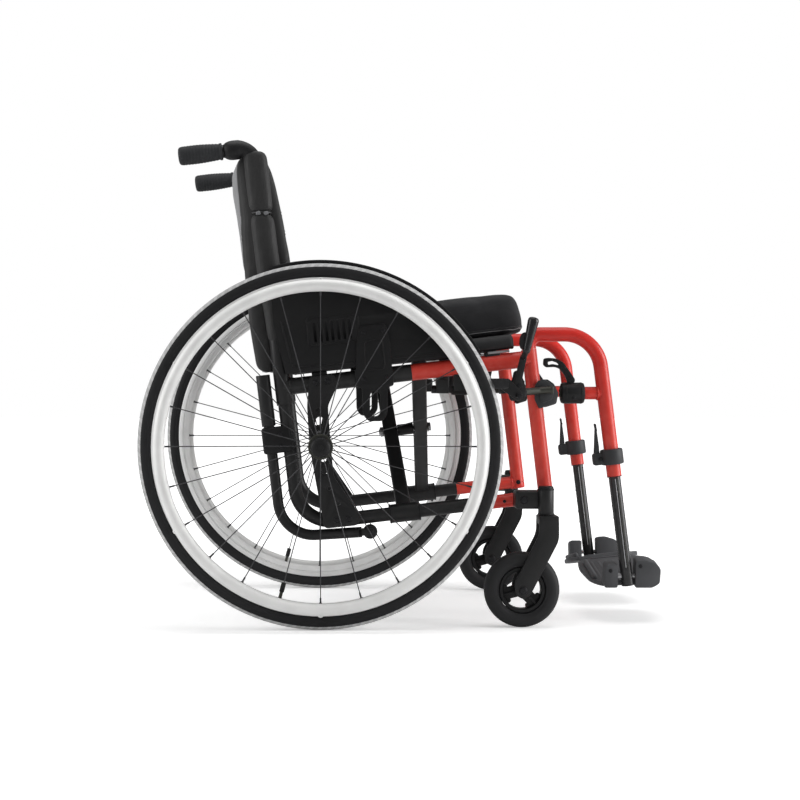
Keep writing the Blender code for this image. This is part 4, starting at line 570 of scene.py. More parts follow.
def metal(name, colour, roughness, ringed=False, metallic=1.0):
    """Bare metal with faint marks; ringed turns the marks into rings round the drive axle."""
    made = Surface(name, colour, roughness, metallic)
    made.vary(30, 0.04)
    made.rough(120, roughness - 0.05, roughness + 0.07)
    if ringed:
        split = made.add("ShaderNodeSeparateXYZ")
        made.link(made.place, split.inputs[0])
        square = made.add("ShaderNodeCombineXYZ")
        for target, axis, middle in zip(square.inputs, "XZ", (AXLE_FORWARD, AXLE_HEIGHT)):
            made.link(made.calculate("SUBTRACT", split.outputs[axis], middle), target)
        rings = made.add("ShaderNodeTexNoise", {"Scale": 2600}, noise_dimensions="1D")
        made.link(made.length(square.outputs[0]), rings.inputs["W"])
        made.raise_by(rings.outputs["Fac"], 0.04, 0.0002)
    made.raise_by(made.grain(700, 3.0), 0.05, 0.0003)
    return made.material


def weave(name, colour, thread, roughness, sheen):
    """Two crossing sets of threads; thread is their spacing."""
    made = Surface(name, colour, roughness)
    waves = []
    for direction in "XYZ":
        wave = made.add("ShaderNodeTexWave", {"Scale": 0.157 / thread, "Distortion": 0.35,
                                              "Detail": 1.0},
                        wave_type="BANDS", bands_direction=direction)
        made.link(made.place, wave.inputs["Vector"])
        waves.append(wave.outputs["Fac"])
    whole = made.calculate("ADD", made.calculate("MULTIPLY", waves[0], waves[1]), waves[2])
    threads = made.spread(whole, 0.0, 1.0, 0.0, 2.0)
    base = made.vary(9, 0.14)
    light = [min(1.0, channel * 1.7 + 0.003) for channel in colour]
    share = made.spread(threads, 0.0, 0.55)
    made.link(made.mix(share, base, light), made.shader.inputs["Base Color"])
    made.rough(70, roughness - 0.06, min(1.0, roughness + 0.08))
    made.raise_by(threads, 0.45, 0.0005)
    made.raise_by(made.grain(38, 3.0), 0.12, 0.0025)
    made.shader.inputs["Sheen Weight"].default_value = sheen
    made.shader.inputs["Sheen Roughness"].default_value = 0.45
    return made.material


RED = paint("red_powder_coat", (0.56, 0.020, 0.013), 0.36, (0.66, 0.10, 0.07), 0.10)
BLACK = paint("black_powder_coat", (0.0065, 0.0065, 0.007), 0.42, (0.035, 0.035, 0.035), 0.04)
SATIN_BLACK = paint("satin_black", (0.008, 0.008, 0.009), 0.24, (0.05, 0.05, 0.05), 0.10)
PLASTIC = moulded("black_moulding", (0.0045, 0.0045, 0.005), 0.50)
GREY = moulded("grey_moulding", (0.060, 0.061, 0.065), 0.58, 900, 0.0004)
RUBBER = moulded("grip_rubber", (0.021, 0.022, 0.024), 0.70, 1800, 0.0003)
SIDEWALL = moulded("tyre_sidewall", (0.010, 0.010, 0.011), 0.64, 1600, 0.0002)
TREAD = moulded("tyre_tread", (0.42, 0.42, 0.42), 0.80, 1100, 0.0004, 0.06)
CASTER_RUBBER = moulded("caster_rubber", (0.014, 0.014, 0.015), 0.60, 1500, 0.0002)
POLISHED = metal("satin_aluminium", (0.78, 0.78, 0.77), 0.60, True, 0.30)
RIM_METAL = metal("rim_aluminium", (0.74, 0.74, 0.735), 0.60, True, 0.35)
STEEL = metal("steel", (0.36, 0.36, 0.37), 0.34)
SPOKE = metal("spoke_steel", (0.075, 0.075, 0.078), 0.42)
ZINC = metal("dark_zinc", (0.065, 0.066, 0.058), 0.46)
BOLT = metal("black_bolt", (0.030, 0.030, 0.032), 0.45)
CLAMP = moulded("clamp_moulding", (0.030, 0.031, 0.033), 0.56, 1000, 0.0003)
COVER = weave("cushion_cover", (0.0045, 0.0045, 0.006), 0.0009, 0.80, 0.03)
BACK_CLOTH = weave("back_cloth", (0.006, 0.0058, 0.006), 0.0011, 0.60, 0.07)
# A grey copy of the black back cloth: painted sheen for the lit, bowed rear of the back panel
PAINTED_SHEEN_CLOTH = weave("back_panel_painted_sheen", (0.120, 0.122, 0.130), 0.0013, 0.66, 0.45)
WEBBING = weave("webbing", (0.007, 0.007, 0.008), 0.0016, 0.78, 0.06)
PIPING = weave("piping", (0.009, 0.009, 0.010), 0.0007, 0.50, 0.06)
# A pale line at the cushion's foot: a painted highlight along the bottom of its border
PAINTED_HIGHLIGHT_EDGING = weave("painted_highlight_edging", (0.22, 0.22, 0.225), 0.0007, 0.60, 0.06)


# Drive wheel

def tyre(side, name):
    centre = place(0, AXLE_HEIGHT, side, WHEEL_PLANE)
    middle = WHEEL_RADIUS - TYRE_HALF
    section = []
    for step in range(29):
        angle = math.pi / 2 * (1 - step / 14)
        depth = 0.0
        if step in (12, 16):
            depth = 0.0011
        elif step in (6, 22):
            depth = 0.0007
        reach = TYRE_HALF - depth
        section.append((middle + reach * math.cos(angle), TYRE_HALF * math.sin(angle)))
    bead = ((0.2845, 0.99), (0.2838, 0.955), (0.2826, 0.955), (0.2819, 0.97), (0.2795, 0.90),
            (0.2786, 0.86), (0.2781, 0.90), (0.2776, 0.88), (TYRE_INNER, 0.74))
    section += [(height, -TYRE_HALF * width) for height, width in bead]
    section += [(height, TYRE_HALF * width) for height, width in reversed(bead)]
    ring = turned(section, centre, side, 240)
    ring.data.materials.append(SIDEWALL)
    ring.data.materials.append(TREAD)
    for face in ring.data.polygons:
        away = Vector((face.center.x - centre.x, face.center.z - centre.z)).length
        face.material_index = 1 if away > 0.2938 else 0
    dress(f"drive_tyre_{name}", (ring, SIDEWALL), (tread_blocks(centre), TREAD),
          angle=50)


def tread_blocks(centre):
    """Shallow slanted bars across both shoulders of the tread."""
    work = bmesh.new()
    middle = WHEEL_RADIUS - TYRE_HALF
    count, half_width, foot, top = 132, 0.0030, -0.0004, 0.00025
    for number in range(count):
        for hand in (-1, 1):
            turn = math.tau * (number + 0.25 * hand) / count
            rows = []
            for lean, shift in ((0.44, 0.0), (0.76, 0.5), (1.02, 0.9)):
                row = []
                for edge, lift in ((-half_width, foot), (-half_width, top), (half_width, top),
                                   (half_width, foot)):
                    reach = TYRE_HALF + lift * (1.0 if lean < 1 else 0.6)
                    radius = middle + reach * math.cos(lean)
                    angle = turn + (edge + shift * 0.0045) / radius
                    row.append(work.verts.new((centre.x + radius * math.cos(angle),
                                               centre.y + hand * reach * math.sin(lean),
                                               centre.z + radius * math.sin(angle))))
                rows.append(row)
            join_rows(work, rows)
            work.faces.new(rows[0])
            work.faces.new(rows[-1])
    return from_bmesh(work, "tread")


def rim(side, name):
    centre = place(0, AXLE_HEIGHT, side, WHEEL_PLANE)
    half = RIM_HALF
    section = [(RIM_OUTER, half - 0.0006), (RIM_OUTER - 0.0008, half), (0.2692, half),
               (0.2682, half - 0.0020), (0.2668, half - 0.0020), (0.2658, half - 0.0003),
               (0.2620, half - 0.0022), (0.2590, half * 0.60), (0.2572, half * 0.36),
               (RIM_BED, half * 0.12)]
    section += [(radius, -out) for radius, out in reversed(section)]
    section += [(RIM_OUTER, -half + 0.0024), (RIM_OUTER - 0.0035, -half + 0.0026),
                (RIM_OUTER - 0.0035, half - 0.0026), (RIM_OUTER, half - 0.0024)]
    ring = turned(section, centre, side, 240)
    parts = [(ring, RIM_METAL)]
    for number in range(SPOKES):
        way = spoke_way(number)
        foot = centre + way * (RIM_BED - 0.0006)
        parts.append((rod(foot, foot + way * 0.003, 0.0028, 12, 0.0, end_radius=0.0034), ZINC))
    valve_way = radial(4.45)
    start = centre + valve_way * (RIM_BED - 0.022)
    parts.append((rod(start, start + valve_way * 0.024, 0.0026, 16, end_radius=0.0030), ZINC))
    parts.append((rod(start - valve_way * 0.004, start + valve_way * 0.012, 0.0040, 16,
                      0.0008), PLASTIC))
    dress(f"drive_rim_{name}", *parts)


def spoke_way(number):
    return radial(math.tau * number / SPOKES)


def spoked_hub(side, name):
    centre = place(0, AXLE_HEIGHT, side, WHEEL_PLANE)
    half, barrel = 0.0355, 0.0125
    low, high = FLANGE_OFFSET - 0.002, FLANGE_OFFSET + 0.002
    outer = [(0.0068, half), (barrel - 0.001, half), (barrel, half - 0.001), (barrel, high + 0.003),
             (barrel + 0.002, high), (FLANGE_RADIUS - 0.0006, high), (FLANGE_RADIUS, high - 0.0006),
             (FLANGE_RADIUS, low + 0.0006), (FLANGE_RADIUS - 0.0006, low), (barrel + 0.003, low),
             (barrel - 0.001, low - 0.004), (barrel - 0.002, 0)]
    section = outer + [(radius, -out) for radius, out in reversed(outer[:-1])]
    parts = [(turned(section, centre, side, 64), ZINC)]
    for number in range(SPOKES):
        way = spoke_way(number)
        shift = Vector((0, side * (FLANGE_OFFSET if number % 2 else -FLANGE_OFFSET), 0))
        start = centre + way * (FLANGE_RADIUS - 0.0040) + shift
        end = centre + way * (RIM_BED - 0.0006)
        line = (end - start).normalized()
        parts.append((rod(start, end - line * 0.008, 0.00088, 10, 0.0), SPOKE))
        parts.append((rod(end - line * 0.0085, end, 0.0015, 10, 0.0, end_radius=0.0016), SPOKE))
        knee = centre + way * (FLANGE_RADIUS - 0.0040) + shift * (1 + 0.0032 / FLANGE_OFFSET)
        parts.append((rod(knee, start, 0.0015, 10, 0.0, end_radius=0.0010), SPOKE))
    dress(f"spoked_hub_{name}", *parts)


def handrim(side, name):
    centre = place(0, AXLE_HEIGHT, side, WHEEL_PLANE)
    section = [(HANDRIM_RADIUS + HANDRIM_TUBE * math.cos(math.tau * step / 28),
                HANDRIM_OFFSET + HANDRIM_TUBE * math.sin(math.tau * step / 28))
               for step in range(28)]
    parts = [(turned(section, centre, side, 240), POLISHED)]
    for number in range(6):
        way = radial(math.tau * (number + 0.5) / 6)
        foot = centre + way * 0.2695 + Vector((0, side * (RIM_HALF + GAP), 0))
        head = Vector((foot.x, centre.y + side * (HANDRIM_OFFSET - 0.0049), foot.z))
        parts.append((rod(foot, head, 0.0035, 20), ZINC))
        parts.append((rod(foot, foot + Vector((0, side * 0.0016, 0)), 0.0052, 6, 0.0004),
                      ZINC))
        parts.append((rod(foot.lerp(head, 0.80), head, 0.0042, 20, end_radius=0.0058), POLISHED))
    dress(f"handrim_{name}", *parts)


def axle(side, name):
    """Push-button pin: domed cap with a ring and a button, over the pin."""
    end = 0.2955 + GAP
    centre = place(0, AXLE_HEIGHT, side, end)
    section = [(0, 0.0110), (0.0042, 0.0108), (0.0046, 0.0100), (0.0056, 0.0098)]
    section += [(0.0165 * math.cos(angle), 0.004 + 0.0068 * math.sin(angle))
                for angle in (1.10, 0.90, 0.70, 0.50, 0.30, 0.12)]
    section += [(0.0165, 0.0030), (0.0158, 0.0024), (0.0165, 0.0018), (0.0162, 0.0),
                (0.0064, 0.0), (0.0062, 0.170 - end), (0.0052, 0.1685 - end), (0, 0.1685 - end)]
    dress(f"axle_{name}", (turned(section, centre, side, 72, closed=False), PLASTIC))


# Side frame

def seat_tube(side, rear, front, radius=SEAT_TUBE_RADIUS):
    return tube([on_frame(where, SEAT_TUBE_RISE, side) for where in (rear, front)], radius)


def saddle(side, along):
    """A low cradle that holds the seat rail."""
    low, high = SEAT_TUBE_RISE + 0.0084, RAIL_RISE - RAIL_RADIUS - CLOTH_GAP
    return frame_block((along - 0.013, along + 0.013), (low, high), side, 0.016, 0.0)


def frame_rear(side, name):
    start = on_frame(post_along(POST_TOP), POST_TOP, side)
    corner = on_frame(POST_FOOT, -LOWER_DROP, side)
    end = on_frame(RED_RAIL_ALONG, -LOWER_DROP, side)
    parts = [(tube(bend([start, corner, end], [0.059], 16), LOWER_RADIUS), BLACK)]
    low_rise = SEAT_TUBE_RISE - 0.030
    low = on_frame(post_along(low_rise), low_rise, side)
    parts.append((rod(low, start, POST_RADIUS, 36, 0.001), BLACK))
    parts.append((seat_tube(side, post_along(SEAT_TUBE_RISE), RED_SEAT_ALONG), BLACK))
    parts.append((saddle(side, 0.012), BLACK))
    weld = on_frame(post_along(SEAT_TUBE_RISE), SEAT_TUBE_RISE, side)
    parts.append((weld_ring(weld + ALONG * 0.0137, ALONG, SEAT_TUBE_RADIUS), BLACK))
    dress(f"frame_rear_{name}", *parts)


def weld_ring(centre, way, radius):
    """A lumpy bead round a tube's joint."""
    turn = Vector((0, 0, 1)).rotation_difference(way).to_matrix()
    path = []
    for step in range(48):
        angle = math.tau * step / 48
        wobble = radius + 0.0004 * math.sin(angle * 17)
        path.append(centre + turn @ Vector((wobble * math.cos(angle), wobble * math.sin(angle),
                                            0.0003 * math.sin(angle * 11))))
    return tube(path, 0.0016, 5, cyclic=True)


def bolt_head(at, side, radius, height=0.0028):
    """A domed screw with a six-sided socket, facing outboard."""
    out = Vector((0, side, 0))
    head = rod(at, at + out * height, radius, 24, radius * 0.18, end_radius=radius * 0.82)
    socket = rod(at + out * (height - 0.0003), at + out * (height + 0.00012), radius * 0.44,
                 6, 0.0)
    return [(head, BOLT), (socket, PLASTIC)]


def frame_front(side, name):
    foot = -LOWER_DROP
    upright = tube([on_frame(FRONT_ALONG, rise, side) for rise in (foot, FRONT_TOP)], FRONT_RADIUS)
    lower = tube([on_frame(RED_RAIL_ALONG + GAP, foot, side),
                  on_frame(FRONT_ALONG + 0.004, foot, side)], LOWER_RADIUS)
    parts = [(upright, RED), (lower, RED),
             (seat_tube(side, RED_SEAT_ALONG + GAP, FRONT_ALONG), RED)]
    parts.append((saddle(side, 0.305), BLACK))
    strip = (SEAT_TUBE_RISE + 0.0152, RAIL_RISE - RAIL_RADIUS - CLOTH_GAP)
    parts.append((frame_block((0.297, 0.334), strip, side, 0.017, 0.0, 0.0006), STEEL))
    cap_foot = on_frame(FRONT_ALONG, foot - 0.0118, side)
    parts.append((rod(cap_foot, on_frame(FRONT_ALONG, foot, side), FRONT_RADIUS, 32, 0.002),
                  RED))
    for rise, radius in ((SEAT_TUBE_RISE, SEAT_TUBE_RADIUS), (foot, LOWER_RADIUS)):
        parts.append((weld_ring(on_frame(FRONT_ALONG - FRONT_RADIUS + 0.0006, rise, side), ALONG,
                                radius), RED))
    parts += bolt_head(on_frame(FRONT_ALONG, foot, side, -FRONT_RADIUS + 0.0006), -side, 0.0046)
    parts += bolt_head(on_frame(0.296, foot, side, LOWER_RADIUS - 0.0006), side, 0.0030)
    dress(f"frame_front_{name}", *parts)


def pin(at, side, inner, outer, radius, kind, **shape):
    """A round bar straight across the chair between two distances from its middle."""
    return rod(place(*at, side, inner), place(*at, side, outer), radius, **shape), kind


def axle_plate(side, name):
    inner = HALF_WIDTH + 0.0105
    outline = [(-0.019, 0.414), (0.024, 0.419), (0.027, 0.396), (0.0125, 0.366), (0.0175, 0.300),
               (0.0225, 0.247), (0.0660, 0.184), (0.0640, 0.166), (0.0070, 0.160),
               (-0.0075, 0.236), (-0.0185, 0.300), (-0.0225, 0.366), (-0.0205, 0.388)]
    holes = [oblong((-0.0035, 0.327), (-0.0010, 0.341), 0.0065),
             oblong((0.0070, 0.2575), (0.0085, 0.2735), 0.0065),
             arc((-0.0035, 0.3590), 0.0032, 18), arc((0.0150, 0.2270), 0.0032, 18),
             arc((0.0300, 0.2020), 0.0032, 18)]
    parts = [(plate(rounded(outline, 0.007), holes, side, inner, 0.008, 0.0012), BLACK)]
    face = inner + 0.008
    parts.append(pin((0, AXLE_HEIGHT), side, HALF_WIDTH - 0.012, face + 0.0012, 0.0115, STEEL,
                     sides=36, bevel=0.001))
    for x, z in ((-0.008, 0.404), (0.012, 0.407), (0.028, 0.1745), (0.048, 0.1765)):
        parts += bolt_head(place(x, z, side, face - 0.0002), side, 0.0052)
    dress(f"axle_plate_{name}", *parts)


# Cross-brace

def cross_arm(side, along, name):
    other = -side
    foot = on_frame(along, -LOWER_DROP, side)
    head = on_frame(along, RAIL_RISE, other)
    way = (head - foot).normalized()
    turn = Matrix((ALONG, way, ALONG.cross(way))).transposed().to_4x4()
    parts = [(block((foot + head) / 2, (0.025, (head - foot).length, 0.012), 0.0035, turn=turn), BLACK)]
    collar = rod(foot - ALONG * 0.026, foot + ALONG * 0.026, 0.0158, 40, 0.001)
    parts.append((collar, BLACK))
    for sign in (-1, 1):
        end = foot + ALONG * sign * 0.026
        parts.append((rod(end - ALONG * sign * 0.003, end, 0.0164, 40, 0.0008), PLASTIC))
    rail = tube([on_frame(where, RAIL_RISE, other) for where in (RAIL_REAR, RAIL_FRONT + 0.004)],
                RAIL_RADIUS)
    parts.append((rail, BLACK))
    for where, sign in ((RAIL_REAR, 1), (RAIL_FRONT + 0.007, -1)):
        end = on_frame(where, RAIL_RISE, other)
        parts.append((rod(end, end + ALONG * sign * 0.006, RAIL_RADIUS + GAP, 36, 0.0020),
                      PLASTIC))
    for sign in (-1, 1):
        weld = head - way * (RAIL_RADIUS - 0.001) + ALONG * sign * 0.0115
        parts.append((rod(weld - way * 0.002, weld + way * 0.003, 0.0026, 14, end_radius=0.0018), BLACK))
    dress(f"cross_arm_{name}", *parts)


def pivot_bolt():
    """The bolt through both arms with its spacer, washer, nut and head."""
    middle = on_frame(0, (RAIL_RISE - LOWER_DROP) / 2, RIGHT)
    middle.y = 0
    rear, front = 0.1152, 0.1948
    parts = []
    for start, end, radius, sides, bevel, kind in (
            (rear - 0.008, front + 0.003, 0.0052, 28, 0.0006, STEEL),
            (0.1408, 0.1692, 0.010, 32, 0.0006, PLASTIC),
            (front, front + 0.0012, 0.0095, 32, 0.0004, ZINC),
            (front + 0.0012, front + 0.006, 0.0085, 6, 0.0007, STEEL),
            (rear - 0.006, rear, 0.0098, 6, 0.0007, STEEL)):
        item = rod(middle + ALONG * start, middle + ALONG * end, radius, sides, bevel)
        parts.append((item, kind))
    dress("cross_pivot_bolt", *parts)


# Casters

def caster_housing(side, name):
    out = CASTER_PLANE
    inner = HALF_WIDTH + 0.006
    parts = []
    for low, high, radius, bevel, kind in (
            (0.186, 0.229, 0.013, 0.0012, BLACK), (0.186, 0.1885, 0.0137, 0.0008, PLASTIC),
            (0.2262, 0.2290, 0.0137, 0.0008, PLASTIC)):
        foot, top = (place(STEM_AT, height, side, out) for height in (low, high))
        parts.append((rod(foot, top, radius, 40, bevel), kind))
    centre = place(STEM_AT - 0.025, 0.210, side, (inner + out) / 2)
    parts.append((block(centre, (0.050, out - inner, 0.030), 0.0045), BLACK))
    at = place(STEM_AT - 0.036, 0.210, side, out - 0.0005)
    parts += bolt_head(at, side, 0.0068, 0.0034)
    cap = place(STEM_AT, 0.229, side, out)
    parts.append((rod(cap, cap + Vector((0, 0, 0.0042)), 0.0128, 40, 0.0012, end_radius=0.0118), PLASTIC))
    dress(f"caster_housing_{name}", *parts)


def caster_fork(side, name):
    out = CASTER_PLANE
    front, rear = STEM_AT + 0.0189, STEM_AT - 0.0137
    top, knee = 0.185, 0.151
    wheel, half = CASTER_AT, 0.0145
    outline = [(rear, top), (rear, knee + 0.004), (wheel[0] - half, wheel[1] + 0.012),
               (wheel[0] - half * 0.86, wheel[1] - half * 0.50), (wheel[0], wheel[1] - half),
               (wheel[0] + half * 0.80, wheel[1] - half * 0.58), (front, knee - 0.006),
               (front, top)]
    shape = rounded(outline, 0.010, 7)
    gap = CASTER_HALF + 0.0025
    parts = [(plate(shape, [], side, out + gap, 0.005, 0.0011), BLACK),
             (plate(shape, [], side, out - gap - 0.005, 0.005, 0.0011), BLACK)]
    crown = place((front + rear) / 2, top - 0.007, side, out)
    parts.append((block(crown, (front - rear, 2 * gap + 0.0094, 0.014), 0.002), BLACK))
    parts.append((rod(place(STEM_AT, top - 0.001, side, out), place(STEM_AT, 0.2200, side, out),
                      0.006), STEEL))
    reach = gap + 0.005
    parts.append(pin(wheel, side, out - reach - 0.002, out + reach + 0.002, 0.004, STEEL))
    for sign in (-1, 1):
        at = place(*wheel, side, out + sign * (reach - 0.0002))
        parts += bolt_head(at, side * sign, 0.0072, 0.0040)
        inner = place(*wheel, side, out + sign * (gap + 0.0002))
        parts.append((rod(inner, inner - Vector((0, side * sign * 0.0008, 0)), 0.0085, 24,
                          0.0), ZINC))
    dress(f"caster_fork_{name}", *parts)


def caster_tyre(side, name):
    centre = place(*CASTER_AT, side, CASTER_PLANE)
    half, radius = CASTER_HALF, CASTER_RADIUS
    outer = [(0.0386, half * 0.80), (0.0400, half * 0.93), (0.0425, half * 0.93),
             (0.0432, half * 0.985), (radius - 0.0130, half), (radius - 0.0085, half * 0.965),
             (radius - 0.0050, half * 0.85), (radius - 0.0024, half * 0.66),
             (radius - 0.0007, half * 0.42), (radius, half * 0.16)]
    section = outer + [(r, -w) for r, w in reversed(outer)]
    dress(f"caster_tyre_{name}", (turned(section, centre, side, 120), CASTER_RUBBER),
          angle=50)


def caster_hub(side, name):
    """Ring, boss and three broad spokes with raised ribs."""
    centre = place(*CASTER_AT, side, CASTER_PLANE)
    half, ring = CASTER_HALF * 0.80, 0.0380
    inner = ring - 0.0065
    section = [(ring, half * 0.9), (ring, -half * 0.9), (ring - 0.001, -half), (inner + 0.001, -half),
               (inner, -half * 0.9), (inner, half * 0.9), (inner + 0.001, half), (ring - 0.001, half)]
    parts = [(turned(section, centre, side, 96), PLASTIC)]
    reach = Vector((0, CASTER_HALF + 0.0016, 0))
    parts.append((rod(centre - reach, centre + reach, 0.0105, 40, 0.001), PLASTIC))
    for number in range(3):
        angle = math.tau * number / 3 + math.radians(75)
        way = radial(angle)
        turn = Matrix.Rotation(-angle, 4, "Y")
        parts.append((block(centre + way * 0.0205, (0.026, half * 0.75, 0.0200), 0.002, turn=turn),
                      PLASTIC))
        parts.append((block(centre + way * 0.0200, (0.028, half * 1.6, 0.0035), 0.001, turn=turn),
                      PLASTIC))
        for sign in (-1, 1):
            fillet = centre + Matrix.Rotation(-sign * 0.42, 3, "Y") @ way * 0.0285
            parts.append((rod(fillet - Vector((0, half * 0.36, 0)),
                              fillet + Vector((0, half * 0.36, 0)), 0.0042, 20), PLASTIC))
    dress(f"caster_hub_{name}", *parts)


# Footrests

def hanger_path(side):
    foot = on_frame(FRONT_ALONG, FRONT_TOP + GAP, side)
    rise = FRONT_TOP + (0.4860 - foot.z) / RISE.z
    corner = on_frame(FRONT_ALONG, rise, side)
    front = down_tube(0.4860, side)
    return bend([foot, corner, front, down_tube(DOWN_FOOT, side)],
                [0.80 * (corner - foot).length, 0.062], 20)


def hanger(side, name):
    parts = [(tube(hanger_path(side), 0.0122, 14), RED)]
    parts.append((rod(on_frame(FRONT_ALONG, FRONT_TOP - 0.045, side),
                      on_frame(FRONT_ALONG, FRONT_TOP + 0.006, side), 0.0068), STEEL))
    joint = down_tube(LATCH_HEIGHT, side)
    parts.append((rod(place(0.4165, LATCH_HEIGHT, side, HALF_WIDTH), joint, 0.0107, 36), RED))
    joint = joint - Vector((0.0118, 0, 0))
    parts.append((weld_ring(joint, Vector((1, 0, 0)), 0.0107), RED))
    end = down_tube(DOWN_FOOT, side)
    way = (down_tube(DOWN_TOP, side) - end).normalized()
    parts.append((rod(end, end + way * 0.0016, 0.0124, 36, 0.0005), PLASTIC))
    dress(f"footrest_hanger_{name}", *parts)


def latch_block(side, name):
    centre = place(0.42425, LATCH_HEIGHT, side, HALF_WIDTH)
    half = Vector((0.01975, 0, 0))
    parts = [(rod(centre - half, centre + half, 0.0178, 48, 0.0042), PLASTIC)]
    for shift in (-0.0125, 0.0130):
        at = centre + Vector((shift, 0, 0))
        parts.append((rod(at, at + Vector((0.0016, 0, 0)), 0.0182, 48, 0.0005), PLASTIC))
    rear = on_frame(FRONT_ALONG + CLAMP_ALONG, CLAMP_RISE, side).x - AXLE_FORWARD + 0.0030
    parts.append((block(place((rear + 0.4085) / 2, LATCH_HEIGHT, side, HALF_WIDTH),
                        (0.4085 - rear, 0.012, 0.014), 0.0015), ZINC))
    parts += bolt_head(place(0.4245, 0.3790, side, HALF_WIDTH + 0.0160), side, 0.0032, 0.0012)
    dress(f"latch_block_{name}", *parts)


def latch_lever(side, name):
    outline = [(0.4173, 0.4000), (0.4237, 0.4000), (0.4300, 0.4085), (0.4206, 0.4225),
               (0.4088, 0.4393), (0.3970, 0.4452), (0.3835, 0.4465), (0.3759, 0.4452),
               (0.3751, 0.4343), (0.3802, 0.4301), (0.3953, 0.4309), (0.4037, 0.4275),
               (0.4122, 0.4157)]
    loop = [(0.3827, 0.4393), (0.3902, 0.4410), (0.3987, 0.4380), (0.4020, 0.4340),
            (0.3902, 0.4360), (0.3835, 0.4343)]
    shape = plate(rounded(outline, 0.005), [rounded(loop, 0.002)], side, HALF_WIDTH - 0.004, 0.008,
                  0.0016)
    dress(f"latch_lever_{name}", (shape, PLASTIC))


def extension_tube(side, name):
    top, foot = down_tube(0.326, side), down_tube(0.063, side)
    parts = [(tube([top, foot], 0.0100, 14), SATIN_BLACK)]
    way = (top - foot).normalized()
    across = Vector((way.z, 0, -way.x))
    parts.append((rod(foot, foot + way * 0.0030, 0.0101, 32, 0.001), PLASTIC))
    for height in (0.118, 0.138, 0.158, 0.178, 0.198):
        at = down_tube(height, side) - across * 0.0098
        parts.append((rod(at, at - across * 0.00035, 0.0021, 16, 0.0), PLASTIC))
    # Thin light strips down both faces of the tube: painted highlight lines where the tube would reflect
    for shift, kind in ((-0.0009, STEEL), (0.0021, ZINC)):
        for face in (-0.0097, 0.0097):
            offset = across * shift + Vector((0, face, 0))
            painted_highlight_line = [down_tube(height, side) + offset for height in (0.094, 0.243)]
            parts.append((tube(painted_highlight_line, 0.00055, 5), kind))
    dress(f"extension_tube_{name}", *parts)


def extension_clamp(side, name):
    low, high = down_tube(0.267, side), down_tube(0.293, side)
    way = (high - low).normalized()
    across = Vector((way.z, 0, -way.x))
    tilt = axes_turn(across)
    parts = [(rod(low, high, 0.0190, 40, 0.0026), CLAMP)]
    lug = (low + high) / 2 - across * 0.0205 - way * 0.0015
    parts.append((block(lug, (0.025, 0.016, 0.0205), 0.0042, turn=tilt), CLAMP))
    blade = [(0.4605, 0.2800), (0.4700, 0.2800), (0.4690, 0.2960), (0.4652, 0.3230),
             (0.4662, 0.3245), (0.4650, 0.3275), (0.4640, 0.3345), (0.4618, 0.3360),
             (0.4606, 0.3340), (0.4622, 0.3270), (0.4612, 0.2960)]
    parts.append((plate(rounded(blade, 0.0016, 3), [], side, HALF_WIDTH - 0.0045, 0.009, 0.0009),
                  CLAMP))
    parts += bolt_head(lug + Vector((0, side * 0.0076, 0)), side, 0.0040, 0.0022)
    dress(f"extension_clamp_{name}", *parts)


def about(point, turn):
    return Matrix.Translation(point) @ turn @ Matrix.Translation(-point)


def toe_plate(side, top):
    """The plate before it is pitched, with its ribs, its raised heel and its two side edges."""
    rear, front, inner, outer = PLATE_REAR, PLATE_FRONT, PLATE_INNER, PLATE_OUTER
    outline = [(0.478, outer), (rear, outer - 0.034), (rear - 0.006, inner + 0.050),
               (rear - 0.003, inner + 0.012), (rear + 0.008, inner), (front - 0.020, inner),
               (front + 0.010, inner + 0.020), (front + 0.014, inner + 0.060),
               (front + 0.006, outer - 0.030), (front - 0.004, outer)]
    shape = plate(rounded(outline, 0.016, 7), [], 1, -PLATE_THICKNESS / 2, PLATE_THICKNESS, 0.0014)
    shape.matrix_world = (Matrix.Translation((0, 0, top - PLATE_THICKNESS / 2))
                          @ Matrix.Diagonal((1, side, 1, 1)))
    made = [shape]
    ribs, pitch = 8, 0.0125
    low, high = inner + 0.020, outer - 0.012
    for number in range(ribs):
        at = place(rear + 0.020 + pitch * number, top - 0.0001, side, (low + high) / 2)
        made.append(block(at, (0.0040, high - low, 0.0010), 0.0004))
    heel_lean = Matrix.Rotation(-0.16, 4, "Y")
    made.append(block(place(rear + 0.0085, top + 0.0030, side, (outer + inner) / 2 - 0.002),
                      (0.009, outer - inner - 0.052, 0.011), 0.0040, turn=heel_lean))
    for out in (inner + 0.0016, outer - 0.003):
        made.append(block(place((rear + front) / 2 - 0.005, top - 0.0005, side, out),
                          (front - rear - 0.052, 0.0028, 0.004), 0.001))
    return made


